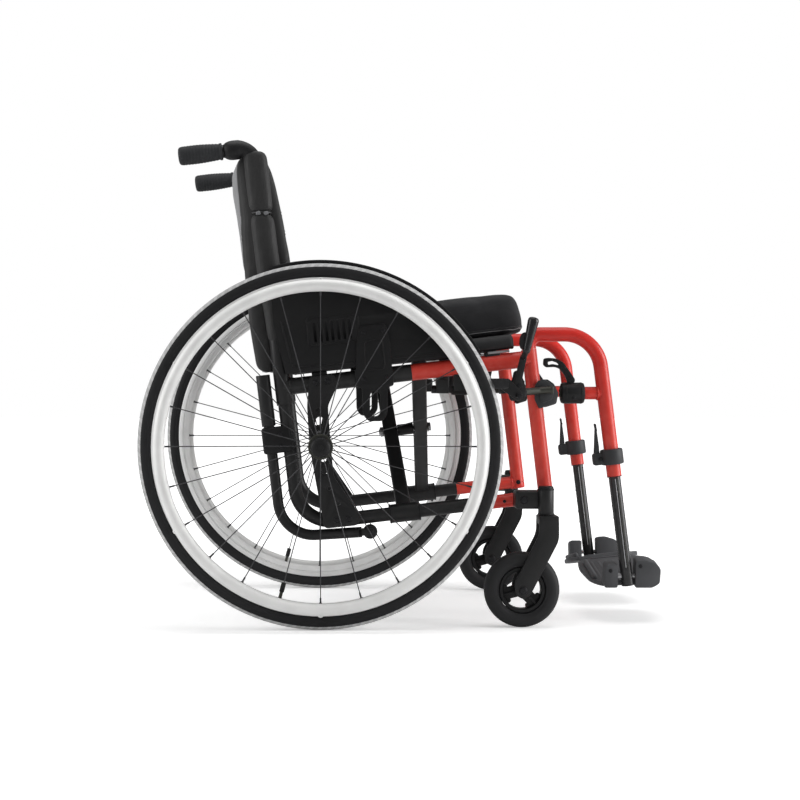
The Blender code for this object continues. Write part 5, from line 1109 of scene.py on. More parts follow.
def footplate(side, name):
    """A ribbed plate with a raised heel, hung from two knuckles in front of and behind the tube."""
    hinge = down_tube(0.079, side)
    top = hinge.z - 0.0115
    bottom = top - PLATE_THICKNESS
    toes_up = about(hinge, Matrix.Rotation(-TOES_UP, 4, "Y"))
    parts = []
    for item in toe_plate(side, top):
        item.matrix_world = toes_up @ item.matrix_world
        parts.append((item, GREY))
    low, high = PLATE_OUTER - 0.007, HALF_WIDTH + 0.008
    hinge_at = hinge.x - AXLE_FORWARD
    swing = math.hypot(0.100 - hinge.z, HALF_WIDTH - low)
    rear, ear, front = hinge_at - 0.0122 - swing * DOWN_SLOPE, hinge_at + 0.0134, PLATE_FRONT
    rear_block = [(0.478, bottom), (rear, bottom), (rear, 0.100), (0.481, 0.100), (0.478, 0.096)]
    front_block = [(ear, bottom), (front - 0.012, bottom), (front, top), (front + 0.001, 0.092),
                   (front - 0.006, 0.102), (ear + 0.016, 0.108), (ear, 0.107)]
    for shape in (rear_block, front_block):
        parts.append((plate(rounded(shape, 0.004), [], side, low, high - low, 0.0016), GREY))
    for x, z in ((ear + 0.008, 0.098), (0.4875, 0.090)):
        parts += bolt_head(place(x, z, side, high - GAP), side, 0.0036, 0.0014)
    hinge_pin = [Vector((AXLE_FORWARD + x, hinge.y, hinge.z)) for x in (rear - 0.006, ear + 0.006)]
    parts.append((rod(*hinge_pin, 0.004), STEEL))
    made = gather("look_footplate_" + name, parts)
    made.data.transform(about(hinge, Matrix.Rotation(-side * PLATE_TILT, 4, "X")))
    stand_for(made, "footplate_" + name)


# Parking brake

def brake_clamp(side):
    """The clamp on the front tube: half a band, a flank and a moulded face in two steps."""
    half = 0.021
    ring_radius = (FRONT_RADIUS + GAP) / math.cos(math.pi / 12) + 0.003
    band = half_band(side, CLAMP_RISE - 0.002, CLAMP_RISE + 0.011, FRONT_RADIUS + 0.0004,
                     ring_radius)
    corners = [(0.0136, half * 0.28), (0.0150, half * 0.95), (CLAMP_ALONG - 0.016, half + 0.0012),
               (CLAMP_ALONG - 0.0054, 0.0125), (CLAMP_ALONG, -0.0035),
               (CLAMP_ALONG - 0.0056, -half), (0.0136, -half - 0.004)]
    spots = [on_frame(FRONT_ALONG + ahead, CLAMP_RISE + up, side) for ahead, up in corners]
    flank = [(spot.x - AXLE_FORWARD, spot.z) for spot in spots]
    face = [(0.3587, 0.3990), (0.3647, 0.4082), (0.3749, 0.4107), (0.3855, 0.4040),
            (0.3944, 0.3957), (0.3989, 0.3840), (0.3927, 0.3699), (0.3664, 0.3607),
            (0.3587, 0.3757)]
    middle_x, middle_z = 0.378, 0.386
    inset = [(middle_x + (x - middle_x) * 0.58, middle_z + (z - middle_z) * 0.62)
             for x, z in face]
    return [(band, BLACK),
            (plate(rounded(flank, 0.003, 3), [], side, HALF_WIDTH - 0.0085, 0.017, 0.0018), BLACK),
            (plate(rounded(face, 0.003, 3), [], side, CLAMP_FACE, 0.0056, 0.0024), CLAMP),
            (plate(rounded(inset, 0.002, 3), [], side, CLAMP_FACE + 0.0050, 0.0028, 0.0012), CLAMP)]


def brake_rod(side):
    """The bent rod from the clamp's face back to the cheek, with a block and a nut."""
    start = place(0.3840, 0.3925, side, CLAMP_FACE + 0.0105)
    elbow = place(0.366, 0.3912, side, CLAMP_FACE + 0.0108)
    end = place(0.320, 0.3875, side, CHEEK_INNER - 0.002)
    nut = [end + Vector((ahead, -side * inward, 0)) for ahead, inward in ((0.012, 0.0030),
                                                                          (0.021, 0.0052))]
    return [(tube(bend([start, elbow, end], [0.020], 8), 0.0062, 12), ZINC),
            (block(start, (0.010, 0.0086, 0.0125), 0.0012), ZINC),
            (rod(*nut, 0.0064, 6, 0.0006), BOLT)]


def brake_cheek(side):
    """The plate that carries the pivots of the lever and the shoe."""
    (x, z), (shoe_x, shoe_z) = LEVER_PIVOT, SHOE_PIVOT
    outline = [(shoe_x - 0.012, shoe_z - 0.009), (shoe_x + 0.012, shoe_z - 0.009),
               (x + 0.012, z - 0.004), (x + 0.007, z + 0.012), (x + 0.001, z + 0.025),
               (x - 0.008, z + 0.024), (x - 0.011, z + 0.010), (shoe_x - 0.016, shoe_z + 0.006)]
    return [(plate(rounded(outline, 0.005), [], side, CHEEK_INNER, CHEEK_THICKNESS, 0.0008), BLACK),
            pin(LEVER_PIVOT, side, CHEEK_OUTER - 0.002, 0.2400, 0.004, STEEL),
            pin(SHOE_PIVOT, side, CHEEK_OUTER - 0.002, WHEEL_PLANE - 0.0004, 0.004, BOLT)]


def brake_bar(side):
    """The bar below the seat tube, with its blocks and the screw behind them."""
    parts = []
    for (rear, front), (low, high), width in (
            ((0.2240, 0.2480), (0.3885, 0.4330), 0.0150),
            ((0.2205, 0.2480), (0.3840, 0.3892), 0.0190),
            ((0.1950, 0.2160), (0.3865, 0.4110), 0.0170),
            ((0.2150, 0.2250), (0.3870, 0.3990), 0.0110),
            ((0.2470, 0.3440), (0.3965, 0.4085), 0.0080)):
        centre = place((rear + front) / 2, (low + high) / 2, side, HALF_WIDTH)
        parts.append((block(centre, (front - rear, width, high - low), 0.0018), BLACK))
    screw = [place(x, 0.3925, side, HALF_WIDTH) for x in (0.1960, 0.1870)]
    return [*parts, (rod(*screw, 0.0068, 6, 0.0010), BOLT)]


def brake_bracket(side, name):
    parts = brake_clamp(side) + brake_rod(side) + brake_cheek(side) + brake_bar(side)
    dress(f"brake_bracket_{name}", *parts)


def half_band(side, low, high, inner, outer):
    """The inboard half of a ring round the front tube, between two rises."""
    corners = ((inner, low), (outer, low), (outer, high), (inner, high))
    rings = []
    for step in range(17):
        angle = math.pi * step / 16
        rings.append([on_frame(FRONT_ALONG + radius * math.cos(angle), rise, side,
                               -radius * math.sin(angle)) for radius, rise in corners])
    made = ring_solid(rings, "band")
    round_edges(made, 0.0008, 2)
    return made


def brake_lever(side, name):
    """Flat arm with a hook behind it, then a smooth grip that swells to its rounded end."""
    foot, top = Vector((0.3245, 0.400)), Vector((0.3505, 0.5120))
    way = (top - foot).normalized()
    across = Vector((way.y, -way.x))
    grip_foot = top - way * 0.060
    outline = [foot - across * 0.0085 - way * 0.002, foot - way * 0.0085,
               foot + across * 0.0085 - way * 0.002, foot + across * 0.006 + way * 0.012,
               grip_foot + across * 0.0055 - way * 0.003, grip_foot - across * 0.0055 - way * 0.003,
               foot - across * 0.006 + way * 0.012]
    arm = plate(rounded(outline, 0.006), [], side, LEVER_FACE, LEVER_THICKNESS, 0.0008)
    parts = [(arm, BLACK)]
    hook = [(0.3400, 0.4880), (0.3320, 0.4870), (0.3275, 0.4800), (0.3262, 0.4700),
            (0.3285, 0.4600), (0.3350, 0.4590), (0.3400, 0.4700)]
    parts.append((plate(rounded(hook, 0.006), [], side, 0.2480, 0.006, 0.0016), BLACK))
    parts.append((rod(place(*(grip_foot - way * 0.009), side, 0.2363),
                      place(*(grip_foot + way * 0.004), side, 0.2555), 0.0048, 24, 0.001),
                  BLACK))
    base = place(*grip_foot, side, 0.2555)
    line = place(*top, side, 0.2555) - base
    profile = [(0.00, 0.0052), (0.02, 0.0060), (0.10, 0.0063), (0.30, 0.0070), (0.55, 0.0080),
               (0.78, 0.0088), (0.88, 0.0091), (0.93, 0.0088), (0.965, 0.0078), (0.985, 0.0062),
               (1.0, 0.0030), (1.003, 0.0)]
    parts.append((sleeve(base, line, profile), SATIN_BLACK))
    parts.append(pin(LEVER_PIVOT, side, 0.2390, 0.24005, 0.0042, BOLT, sides=20, bevel=0.0002))
    dress(f"brake_lever_{name}", *parts)


def sleeve(base, line, profile, sides=36):
    """Spins a profile of shares along a line and radii round that line."""
    turn = Vector((0, 0, 1)).rotation_difference(line).to_matrix()
    rings = [[base + line * share + turn @ Vector((*point, 0))
              for point in arc((0, 0), max(radius, 0.0001), sides)] for share, radius in profile]
    return ring_solid(rings, "sleeve")


def brake_shoe(side, name):
    inner = LEVER_FACE + LEVER_THICKNESS + GAP
    x, z = SHOE_PIVOT
    contact = WHEEL_RADIUS + 0.0008
    low, high = 0.3945, 0.4115
    heights = [high - (high - low) * step / 8 for step in range(9)]
    face = [(math.sqrt(contact ** 2 - (height - AXLE_HEIGHT) ** 2), height) for height in heights]
    tail = math.sqrt(contact ** 2 - 0.103 ** 2) + 0.024
    pad = face + [(tail - 0.002, low), (tail, low + 0.003), (tail, high)]
    arm = [(x - 0.008, z - 0.004), (x, z - 0.0085), (x + 0.008, z - 0.003), (x + 0.006, z + 0.006),
           (tail + 0.004, high), (tail - 0.010, high), (tail - 0.012, low + 0.002)]
    parts = [(plate(pad, [], side, inner, WHEEL_PLANE + 0.0127 - inner, 0.0007), SATIN_BLACK),
             (plate(rounded(arm, 0.004), [], side, inner, 0.0055, 0.0008), BLACK)]
    dress(f"brake_shoe_{name}", *parts)


# Push handles

def on_handle(forward, side):
    """A point on the line of a push handle's grip."""
    corner = post_at(HANDLE_HEIGHT, side)
    return corner + HANDLE_WAY * ((corner.x - AXLE_FORWARD - forward) / math.cos(HANDLE_SLOPE))


def back_tube(side, name):
    start = on_frame(post_along(POST_TOP + GAP), POST_TOP + GAP, side)
    corner = post_at(HANDLE_HEIGHT, side)
    rear = on_handle(-0.235, side)
    path = bend([start, corner, rear], [0.026], 20)
    parts = [(tube(path, BACK_RADIUS, 14), BLACK)]
    cover = path[3:-1] + [corner + HANDLE_WAY * reach for reach in
                          (0.029, 0.033, 0.037, 0.041, 0.0445, 0.0475, 0.0495, 0.051)]
    swell = [0.0116 + 0.0040 * (step / 17) ** 2.5 for step in range(len(cover) - 8)]
    swell += [0.0164, 0.0165, 0.0164, 0.0159, 0.0149, 0.0135, 0.0120, 0.0110]
    knuckle = tube(cover, 1.0, 14)
    for point, radius in zip(knuckle.data.splines[0].points, swell):
        point.radius = radius
    parts.append((knuckle, PLASTIC))
    dress(f"back_tube_{name}", *parts, angle=60)


def push_grip(side, name):
    """A rubber grip that swells to its end, with rings for the fingers."""
    rear = on_handle(-0.239, side)
    front = rear - HANDLE_WAY * 0.0745
    profile = [(0.0, 0.0120), (0.004, 0.0138), (0.012, 0.0144), (0.055, 0.0144), (0.066, 0.0136),
               (0.075, 0.0132)]
    for number in range(11):
        start = 0.11 + number * 0.070
        swell = 0.0133 + 0.0028 * math.sin(math.pi * min(1, (number + 1.5) / 11) * 0.62)
        profile += [(start, swell - 0.0005), (start + 0.016, swell), (start + 0.044, swell),
                    (start + 0.058, swell - 0.0005)]
    profile += [(0.885, 0.0158), (0.93, 0.0153), (0.965, 0.0146), (0.99, 0.0122), (1.0, 0.0085)]
    parts = [(sleeve(front, rear - front, profile, 44), RUBBER)]
    dress(f"push_grip_{name}", *parts, angle=60)


# Side guard

def side_guard(side, name):
    """A moulded panel with louvres and a rolled lip over the wheel."""
    inner = GUARD_FACE
    start, end = math.atan2(0.151, 0.269), math.atan2(0.295, -0.086)
    outline = (arc((0, AXLE_HEIGHT), GUARD_RADIUS, 60, start, end - start, closed=False)
               + [(-0.079, 0.500), (-0.058, 0.4185), (0.216, 0.4465)])
    vents = []
    for number in range(7):
        x = -0.010 + 0.0098 * number
        low = 0.473 + 0.115 * x
        vents.append(rounded([(x, low), (x + 0.0046, low), (x + 0.0012, low + 0.034),
                              (x - 0.0034, low + 0.034)], 0.0016, 4))
    parts = [(plate(outline, vents, side, inner, GUARD_THICKNESS, 0.0006), PLASTIC)]
    start, end = math.atan2(0.158, 0.2655), math.atan2(0.297, -0.078)
    parts.append((guard_lip(side, inner + 0.0015, start, end), PLASTIC))
    bezel = rounded([(-0.0205, 0.4655), (0.0650, 0.4755), (0.0630, 0.5190), (-0.0240, 0.5125)],
                    0.006)
    edge = [place(x, z, side, inner + 0.0028) for x, z in bezel]
    parts.append((tube(edge, 0.0011, 5, cyclic=True), PLASTIC))
    rib = [(-0.066, 0.508), (-0.046, 0.4285), (0.190, 0.4520)]
    path = bend([place(x, z, side, inner + 0.003) for x, z in rib], [0.012], 8)
    parts.append((tube(path, 0.0016, 5), PLASTIC))
    dress(f"side_guard_{name}", *parts)


def guard_lip(side, inner, start, end):
    """The lip over the wheel: a thin curved band with a bead along its outer edge."""
    steps, width, under = 64, 0.021, GUARD_RADIUS - 0.0025
    edge = [(GUARD_RADIUS, 0.0), (GUARD_RADIUS, width - 0.0026), (0.3088, width - 0.0008),
            (0.3080, width), (0.3052, width), (0.3044, width - 0.0008), (0.3046, width - 0.0026),
            (under, width - 0.0040), (under, 0.0)]
    rings = []
    for step in range(steps + 1):
        angle = start + (end - start) * step / steps
        rings.append([place(radius * math.cos(angle), AXLE_HEIGHT + radius * math.sin(angle), side,
                            inner + out) for radius, out in edge])
    return ring_solid(rings, "lip")


def guard_socket(side, name):
    inner = GUARD_FACE + GUARD_THICKNESS + GAP
    outline = [(0.059, 0.398), (0.070, 0.396), (0.071, 0.352), (0.079, 0.340), (0.104, 0.340),
               (0.1120, 0.352), (0.113, 0.397), (0.123, 0.400), (0.115, 0.478), (0.108, 0.504),
               (0.066, 0.499), (0.060, 0.470)]
    slot = oblong((0.0915, 0.357), (0.0915, 0.382), 0.0085)
    parts = [(plate(rounded(outline, 0.006), [slot], side, inner, 0.005, 0.0011), PLASTIC)]
    parts.append((frame_block((0.071, 0.130), (SEAT_TUBE_RISE - 0.016, SEAT_TUBE_RISE + 0.0155),
                              side, 0.012, 0.0133, 0.002), PLASTIC))
    face = inner + 0.005
    for x, z in ((0.072, 0.488), (0.104, 0.492), (0.072, 0.410), (0.112, 0.413)):
        parts += bolt_head(place(x, z, side, face - 0.0002), side, 0.0040, 0.0018)
    rib = [(0.075, 0.425), (0.108, 0.428), (0.103, 0.478), (0.074, 0.474)]
    path = [place(x, z, side, face) for x, z in rounded(rib, 0.008)]
    parts.append((tube(path, 0.0013, 5, cyclic=True), PLASTIC))
    dress(f"guard_socket_{name}", *parts)


# Anti-tipper

def anti_tip_tube(roller):
    """The bent tube down the back post, with a forked foot round the roller."""
    top, corner = post_at(0.417, RIGHT, TIPPER_BEHIND), post_at(0.1445, RIGHT, TIPPER_BEHIND)
    way = (roller - corner).normalized()
    end = roller - way * 0.0142
    tilt = axes_turn(way)
    parts = [(tube(bend([top, corner, end], [0.060], 18), 0.0090, 14), BLACK),
             (rod(post_at(0.331, RIGHT, TIPPER_BEHIND), top, 0.0118, 36, 0.0012), BLACK),
             (rod(top - (top - corner).normalized() * 0.004, top, 0.0116, 36, 0.0015),
              PLASTIC)]
    at = post_at(0.347, RIGHT, TIPPER_BEHIND, 0.0108)
    parts.append((rod(at, at + Vector((0, -0.0016, 0)), 0.0030, 20, 0.0006, end_radius=0.0024), BOLT))
    out = ROLLER_HALF + 0.0019
    parts.append((block(end - way * 0.003, (0.007, 2 * out + 0.003, 0.013), 0.0012, turn=tilt), BLACK))
    for sign in (-1, 1):
        parts.append((block((end + roller) / 2 + Vector((0, sign * out, 0)),
                            ((roller - end).length + 0.011, 0.003, 0.011), 0.0009, turn=tilt), BLACK))
        parts += bolt_head(roller + Vector((0, sign * (out + 0.0012), 0)), sign, 0.0040, 0.0016)
    pin_half = Vector((0, out, 0))
    parts.append((rod(roller - pin_half, roller + pin_half, 0.003), STEEL))
    dress("anti_tip_tube", *parts)


def anti_tip_roller(roller):
    half = [(0.0034, ROLLER_HALF), (0.0098, ROLLER_HALF), (0.0110, 0.0068), (0.0120, 0.0050),
            (0.0122, 0.0030)]
    section = half + [(radius, -out) for radius, out in reversed(half)]
    dress("anti_tip_roller", (turned(section, roller, RIGHT, 64), CASTER_RUBBER))


def anti_tip_clamp():
    low, high = (post_at(height, RIGHT, TIPPER_BEHIND) for height in (0.285, 0.329))
    up = (high - low).normalized()
    across = Vector((up.z, 0, -up.x))
    centre = (low + high) / 2 + across * 0.011
    clamp = [(block(centre, (0.049, 0.029, (high - low).length), 0.0042, turn=axes_turn(across)),
              PLASTIC)]
    for height in (0.297, 0.317):
        clamp += bolt_head(post_at(height, RIGHT, 0.014, 0.0142), RIGHT, 0.0042, 0.0024)
    dress("anti_tip_clamp", *clamp)


def side_pieces(side, name):
    for make in (tyre, rim, spoked_hub, handrim, axle, frame_rear, frame_front, axle_plate,
                 caster_housing, caster_fork, caster_tyre, caster_hub, hanger, latch_block,
                 latch_lever, extension_tube, extension_clamp, footplate, brake_bracket,
                 brake_lever, brake_shoe, back_tube, push_grip, side_guard, guard_socket):
        make(side, name)


for side_name, side_sign in SIDES.items():
    side_pieces(side_sign, side_name)
cross_arm(RIGHT, 0.128, "a")
cross_arm(LEFT, 0.182, "b")
pivot_bolt()
roller_centre = place(0.084, 0.1538, RIGHT, HALF_WIDTH)
anti_tip_tube(roller_centre)
anti_tip_roller(roller_centre)
anti_tip_clamp()


# Soft pieces

def seat_point(along, out, rise):
    return on_frame(along, rise, LEFT, out - HALF_WIDTH)


def settle(item):
    """Replaces a piece's mesh by what its modifiers make of it."""
    bpy.context.view_layer.update()
    graph = bpy.context.evaluated_depsgraph_get()
    mesh = bpy.data.meshes.new_from_object(item.evaluated_get(graph), depsgraph=graph)
    item.modifiers.clear()
    item.data = mesh


def inflate(item, pressure, limit, floor_of=None):
    """Blows a closed form up as filled cloth; limit says how far each point may move."""
    frames = 20
    cloth = item.modifiers.new("cloth", "CLOTH")
    cloth.settings.quality = 5
    cloth.settings.mass = 0.3
    cloth.settings.use_pressure = True
    cloth.settings.uniform_pressure_force = pressure
    cloth.settings.effector_weights.gravity = 0
    cloth.point_cache.frame_start = 1
    cloth.point_cache.frame_end = frames
    for number in range(1, frames + 1):
        bpy.context.scene.frame_set(number)
    before = [vertex.co.copy() for vertex in item.data.vertices]
    settle(item)
    for start, vertex in zip(before, item.data.vertices):
        move = vertex.co - start
        reach = limit(start)
        if move.length > reach:
            move *= reach / move.length
        vertex.co = start + move
        if floor_of:
            short = floor_of(vertex.co)
            if short > 0:
                vertex.co += RISE * short
    bpy.context.scene.frame_set(1)


def soften(item, rounds):
    work = bmesh.new()
    work.from_mesh(item.data)
    for _ in range(rounds):
        bmesh.ops.smooth_vert(work, verts=work.verts, factor=0.5, use_axis_x=True, use_axis_y=True,
                              use_axis_z=True)
    bmesh.ops.recalc_face_normals(work, faces=work.faces)
    work.to_mesh(item.data)
    work.free()
    item.modifiers.new("smooth", "SUBSURF").levels = 1
    settle(item)


def rumple(item, height, scale, stretch=(1, 1, 1)):
    """Shallow soft creases along the surface."""
    item.data.update()
    moves = []
    for vertex in item.data.vertices:
        spot = Vector([value * factor for value, factor in zip(vertex.co, stretch)]) * scale
        moves.append(vertex.normal * (noise.noise(spot) * height
                                      + noise.noise(spot * 2.7) * height * 0.4))
    for vertex, move in zip(item.data.vertices, moves):
        vertex.co += move


def from_rings(rings):
    """One closed form through rings of equal length, with a point in the middle of both ends."""
    work = bmesh.new()
    rows = wrap_rings(work, rings)
    count = len(rows[0])
    for row in (rows[0], rows[-1]):
        middle = work.verts.new(sum((vertex.co for vertex in row), Vector()) / count)
        for index in range(count):
            work.faces.new([row[index], row[(index + 1) % count], middle])
    return from_bmesh(work, "form")


def squared(angle, x_power, y_power):
    """A point on a circle pressed towards a square: the lower the power, the squarer."""
    c, s = math.cos(angle), math.sin(angle)
    return math.copysign(abs(c) ** x_power, c), math.copysign(abs(s) ** y_power, s)


def skin_tree(item):
    return bvhtree.BVHTree.FromPolygons([vertex.co for vertex in item.data.vertices],
                                        [face.vertices for face in item.data.polygons])


def on_skin(item, points, lift):
    """The nearest spots on a finished surface, a little above it."""
    tree = skin_tree(item)
    spots = []
    for point in points:
        near, normal, _, _ = tree.find_nearest(point)
        spots.append(near + normal * lift)
    return spots


def finish_soft(item, name, kind, node, stands_for_it=True):
    """Names a soft piece, gives it its fabric if it has none, and hides the node when it stands for it.
    """
    item.name = item.data.name = name
    if not item.data.materials:
        item.data.materials.append(kind)
    item.data.shade_smooth()
    if stands_for_it:
        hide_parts(node)


def stitching(name, parts):
    seam = gather(name, parts, 60)
    return seam


def across_seat(item):
    """Bakes the placing of fabric between the two seat rails, which the cross arms carry, into its mesh.
    """
    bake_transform(item)


def cushion_ring(half_long, half_wide, rise, count=200):
    """A rounded rectangle whose sides are drawn in a little between the corners."""
    draw = 0.003
    middle = (CUSHION_REAR + CUSHION_FRONT) / 2
    ring = []
    for step in range(count):
        u, v = squared(math.tau * step / count, 0.10, 0.10)
        along = (half_long - draw * (1 - v * v)) * u
        out = (half_wide - draw * (1 - u * u)) * v
        ring.append(seat_point(middle + along, out, CUSHION_FOOT + rise))
    return ring


def seat_cushion():
    """A boxed foam cushion: crowned top, bulging border, a double row of stitches at its foot."""
    shrink, wall, crown = 0.0018, CUSHION_HEIGHT - 0.004, 0.0040
    half_long, half_wide = (CUSHION_FRONT - CUSHION_REAR) / 2 - shrink, CUSHION_HALF - shrink
    rings = []
    for share in (0.35, 0.70, 0.93):
        rings.append(cushion_ring(half_long * share, half_wide * share, 0.0))
    for inset, level in ((0.004, 0.0), (0.0006, 0.08), (0.0, 0.22), (0.0006, 0.40),
                         (0.0020, 0.58), (0.0042, 0.76), (0.0068, 0.91), (0.0105, 0.990)):
        rings.append(cushion_ring(half_long - inset, half_wide - inset, wall * level))
    for share, lift in ((0.86, 0.36), (0.72, 0.62), (0.52, 0.84), (0.28, 0.97)):
        rings.append(cushion_ring((half_long - 0.0105) * share, (half_wide - 0.0105) * share,
                                  wall + crown * lift))
    form = from_rings(rings)
    skin = form.modifiers.new("skin", "REMESH")
    skin.mode = "VOXEL"
    skin.voxel_size = 0.0055
    settle(form)
    base = on_frame(0, CUSHION_FOOT, LEFT)

    def sunk(point):
        return -(point - base).dot(RISE)

    inflate(form, 4.0, lambda point: 0.006, sunk)
    soften(form, 2)
    rumple(form, 0.0009, 17)
    for vertex in form.data.vertices:
        short = sunk(vertex.co)
        if short > -0.0004:
            vertex.co += RISE * (short + 0.0003)
    form.data.update()
    finish_soft(form, "look_seat_cushion", COVER, "seat_cushion")
    seams = []
    # The lowest, pale line is a painted highlight along the border's foot; the two above it are piping
    for rise, radius, kind in ((0.0014, 0.0008, PAINTED_HIGHLIGHT_EDGING), (0.0052, 0.0011, PIPING),
                               (0.0092, 0.0007, PIPING)):
        path = on_skin(form, cushion_ring(half_long + 0.01, half_wide + 0.01, rise, 320), 0.0002)
        seams.append((tube(path, radius, 6, cyclic=True), kind))
    seam = stitching("look_cushion_seams", seams)
    across_seat(form)
    across_seat(seam)


def sling_line():
    """Half of the sling's section: round the rail, then down to the middle."""
    reach = RAIL_RADIUS + 0.0018
    points = []
    for step in range(13):
        angle = math.radians(-32 + 122 * step / 12)
        points.append((HALF_WIDTH + reach * math.cos(angle), RAIL_RISE + reach * math.sin(angle)))
    top = RAIL_RISE + reach
    for step in range(1, 25):
        share = 1 - step / 24
        points.append((HALF_WIDTH * share, top - SLING_SAG * (1 - share * share)))
    return points


def seat_sling():
    """Strong cloth stretched between the seat rails, folded down round them and stitched."""
    half = sling_line()
    line = half + [(-out, rise) for out, rise in reversed(half[:-1])]
    rear, front = RAIL_REAR + 0.008, RAIL_FRONT + 0.005
    rows = 72
    work = bmesh.new()
    grid = []
    for row in range(rows + 1):
        along = rear + (front - rear) * row / rows
        grid.append([work.verts.new(seat_point(
            along, out, rise - 0.0005 * (1 + math.sin(along * 61 + out * 9)) * (1 - abs(out) / 0.2)))
            for out, rise in line])
    join_rows(work, grid, closed=False)
    cloth = from_bmesh(work, "cloth")
    thick = cloth.modifiers.new("thick", "SOLIDIFY")
    thick.thickness = 0.0012
    thick.offset = 0
    settle(cloth)
    finish_soft(cloth, "look_seat_sling", WEBBING, "seat_sling")
    seams = []
    for out in (HALF_WIDTH - 0.016, HALF_WIDTH - 0.021):
        for sign in (-1, 1):
            share = out / HALF_WIDTH
            rise = RAIL_RISE + RAIL_RADIUS + 0.0018 - SLING_SAG * (1 - share * share)
            path = [seat_point(rear + 0.004 + (front - rear - 0.008) * step / 60, sign * out, rise)
                    for step in range(61)]
            seams.append((tube(path, 0.0009, 5), PIPING))
    seam = stitching("look_sling_seams", seams)
    across_seat(cloth)
    across_seat(seam)


BACK_ROWS = [(BACK_FLAP_FOOT, 0.0, 1.0, 0.0340, 0.003), (0.432, 0.0, 1.0, 0.0420, 0.003),
             (0.510, 0.0, 1.0, 0.0450, 0.003), (0.588, 0.25, 0.7, 0.0430, 0.003),
             (0.608, 1.0, 0.26, 0.0405, 0.003), (0.645, 0.96, 0.2, 0.0385, 0.006),
             (0.6905, 0.90, 0.3, 0.0340, 0.013), (0.735, 0.82, 0.2, 0.0310, 0.018),
             (0.770, 0.72, 0.26, 0.0295, 0.018), (0.784, 0.66, 0.3, 0.0260, 0.016),
             (BACK_TOP, 0.55, 0.3, 0.0180, 0.012)]


def back_shares(height):
    for low, high in zip(BACK_ROWS, BACK_ROWS[1:]):
        if height <= high[0]:
            share = (height - low[0]) / (high[0] - low[0])
            share = share * share * (3 - 2 * share)
            return [a + (b - a) * share for a, b in zip(low[1:], high[1:])]
    return BACK_ROWS[-1][1:]


def back_panel():
    """The padded panel: full in front of the posts, bowed behind them, a thin flap at its foot."""
    columns, rows = 64, 76
    half_wide, shrink, reach_ahead, sag_depth = 0.1785, 0.0025, 0.0425, 0.035
    loops = []
    for row in range(rows + 1):
        height = BACK_FLAP_FOOT + (BACK_TOP - BACK_FLAP_FOOT) * row / rows
        ahead, sag, edge, bulge = back_shares(height)
        middle = post_at(height, LEFT).x
        front, rear = [], []
        for column in range(columns + 1):
            across = 2 * column / columns - 1
            bow = 1 - across * across
            lead = reach_ahead * ahead * abs(across) ** 1.5 - sag_depth * sag * bow
            y = half_wide * across
            front.append(Vector((middle + lead - shrink, y, height)))
            rear.append(Vector((middle - edge - bulge * bow + shrink, y, height)))
        loops.append(front + rear[::-1])
    form = from_loops(loops)
    inflate(form, 4.0, lambda point: 0.0045 if point.z > BACK_PAD_FOOT else 0.0012)
    soften(form, 3)
    rumple(form, 0.0011, 15, (1, 1, 0.6))
    form.data.materials.append(BACK_CLOTH)
    form.data.materials.append(PAINTED_SHEEN_CLOTH)
    # Faces behind the posts and inside the sheen's half width get the grey cloth: painted sheen on the
    # bowed rear
    for face in form.data.polygons:
        behind = face.center.x < post_at(face.center.z, LEFT).x - SHEEN_PAINT_BEHIND
        inside = abs(face.center.y) < SHEEN_PAINT_HALF
        face.material_index = 1 if behind and inside else 0
    finish_soft(form, "look_back_panel", BACK_CLOTH, "back_upholstery")
    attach(form, "right_frame")
    seams = []
    for height in (BACK_SEAM + 0.003, BACK_SEAM - 0.003, BACK_PAD_FOOT + 0.006):
        middle = post_at(height, LEFT).x
        points = [Vector((middle + 0.08, 0.168 * (step / 60 * 2 - 1), height))
                  for step in range(61)]
        seams.append((tube(on_skin_along(form, points), 0.0009, 5), PIPING))
    seam = stitching("look_back_seams", seams)
    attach(seam, "right_frame")
    for item in (form, seam):
        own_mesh(item)


def from_loops(loops):
    """A closed form from stacked loops whose first half lies in front of the second."""
    work = bmesh.new()
    rows = wrap_rings(work, loops)
    count = len(rows[0])
    half = count // 2
    for row in (rows[0], rows[-1]):
        for index in range(half - 1):
            work.faces.new([row[index], row[index + 1], row[count - 2 - index],
                            row[count - 1 - index]])
    return from_bmesh(work, "form")


def on_skin_along(item, points):
    """Drops points along the forward axis onto a finished surface."""
    tree = skin_tree(item)
    middle = sum(point.x for point in points) / len(points)
    way = Vector((-1 if middle > post_at(points[0].z, LEFT).x else 1, 0, 0))
    spots = []
    for point in points:
        near, _, _, _ = tree.ray_cast(point, way)
        spots.append((near or point) - way * 0.0002)
    return spots


def back_sleeve(side, name, low, high, label):
    """A padded tube of cloth round the back post, tucked in at both ends."""
    count, rows = 56, 36
    rings = []
    for row in range(rows + 1):
        share = row / rows
        height = low + (high - low) * share
        middle = post_at(height, side)
        end = min(share, 1 - share) * (high - low)
        tuck = 0.0060 * max(0.0, 1 - end / 0.011) ** 2
        swell = 0.0006 * math.sin(math.pi * share)
        narrow = 0.0045 * max(0.0, min(1.0, (0.60 - height) / 0.09))
        reach_x = SLEEVE_REACH - 0.0008 - tuck + swell - narrow
        reach_y = 0.0146 - 0.0006 - tuck * 0.5 + swell
        ring = []
        for step in range(count):
            x, y = squared(math.tau * step / count, 0.78, 0.82)
            ring.append(middle + Vector((reach_x * x, reach_y * y, 0)))
        rings.append(ring)
    form = from_rings(rings)
    inflate(form, 3.0, lambda point: 0.0012)
    soften(form, 1)
    rumple(form, 0.0008, 34, (1, 1, 0.55))
    finish_soft(form, f"look_back_{label}_sleeve_{name}", BACK_CLOTH, "back_upholstery", False)
    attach(form, frame["nodes"]["back_tube_" + name]["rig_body"])


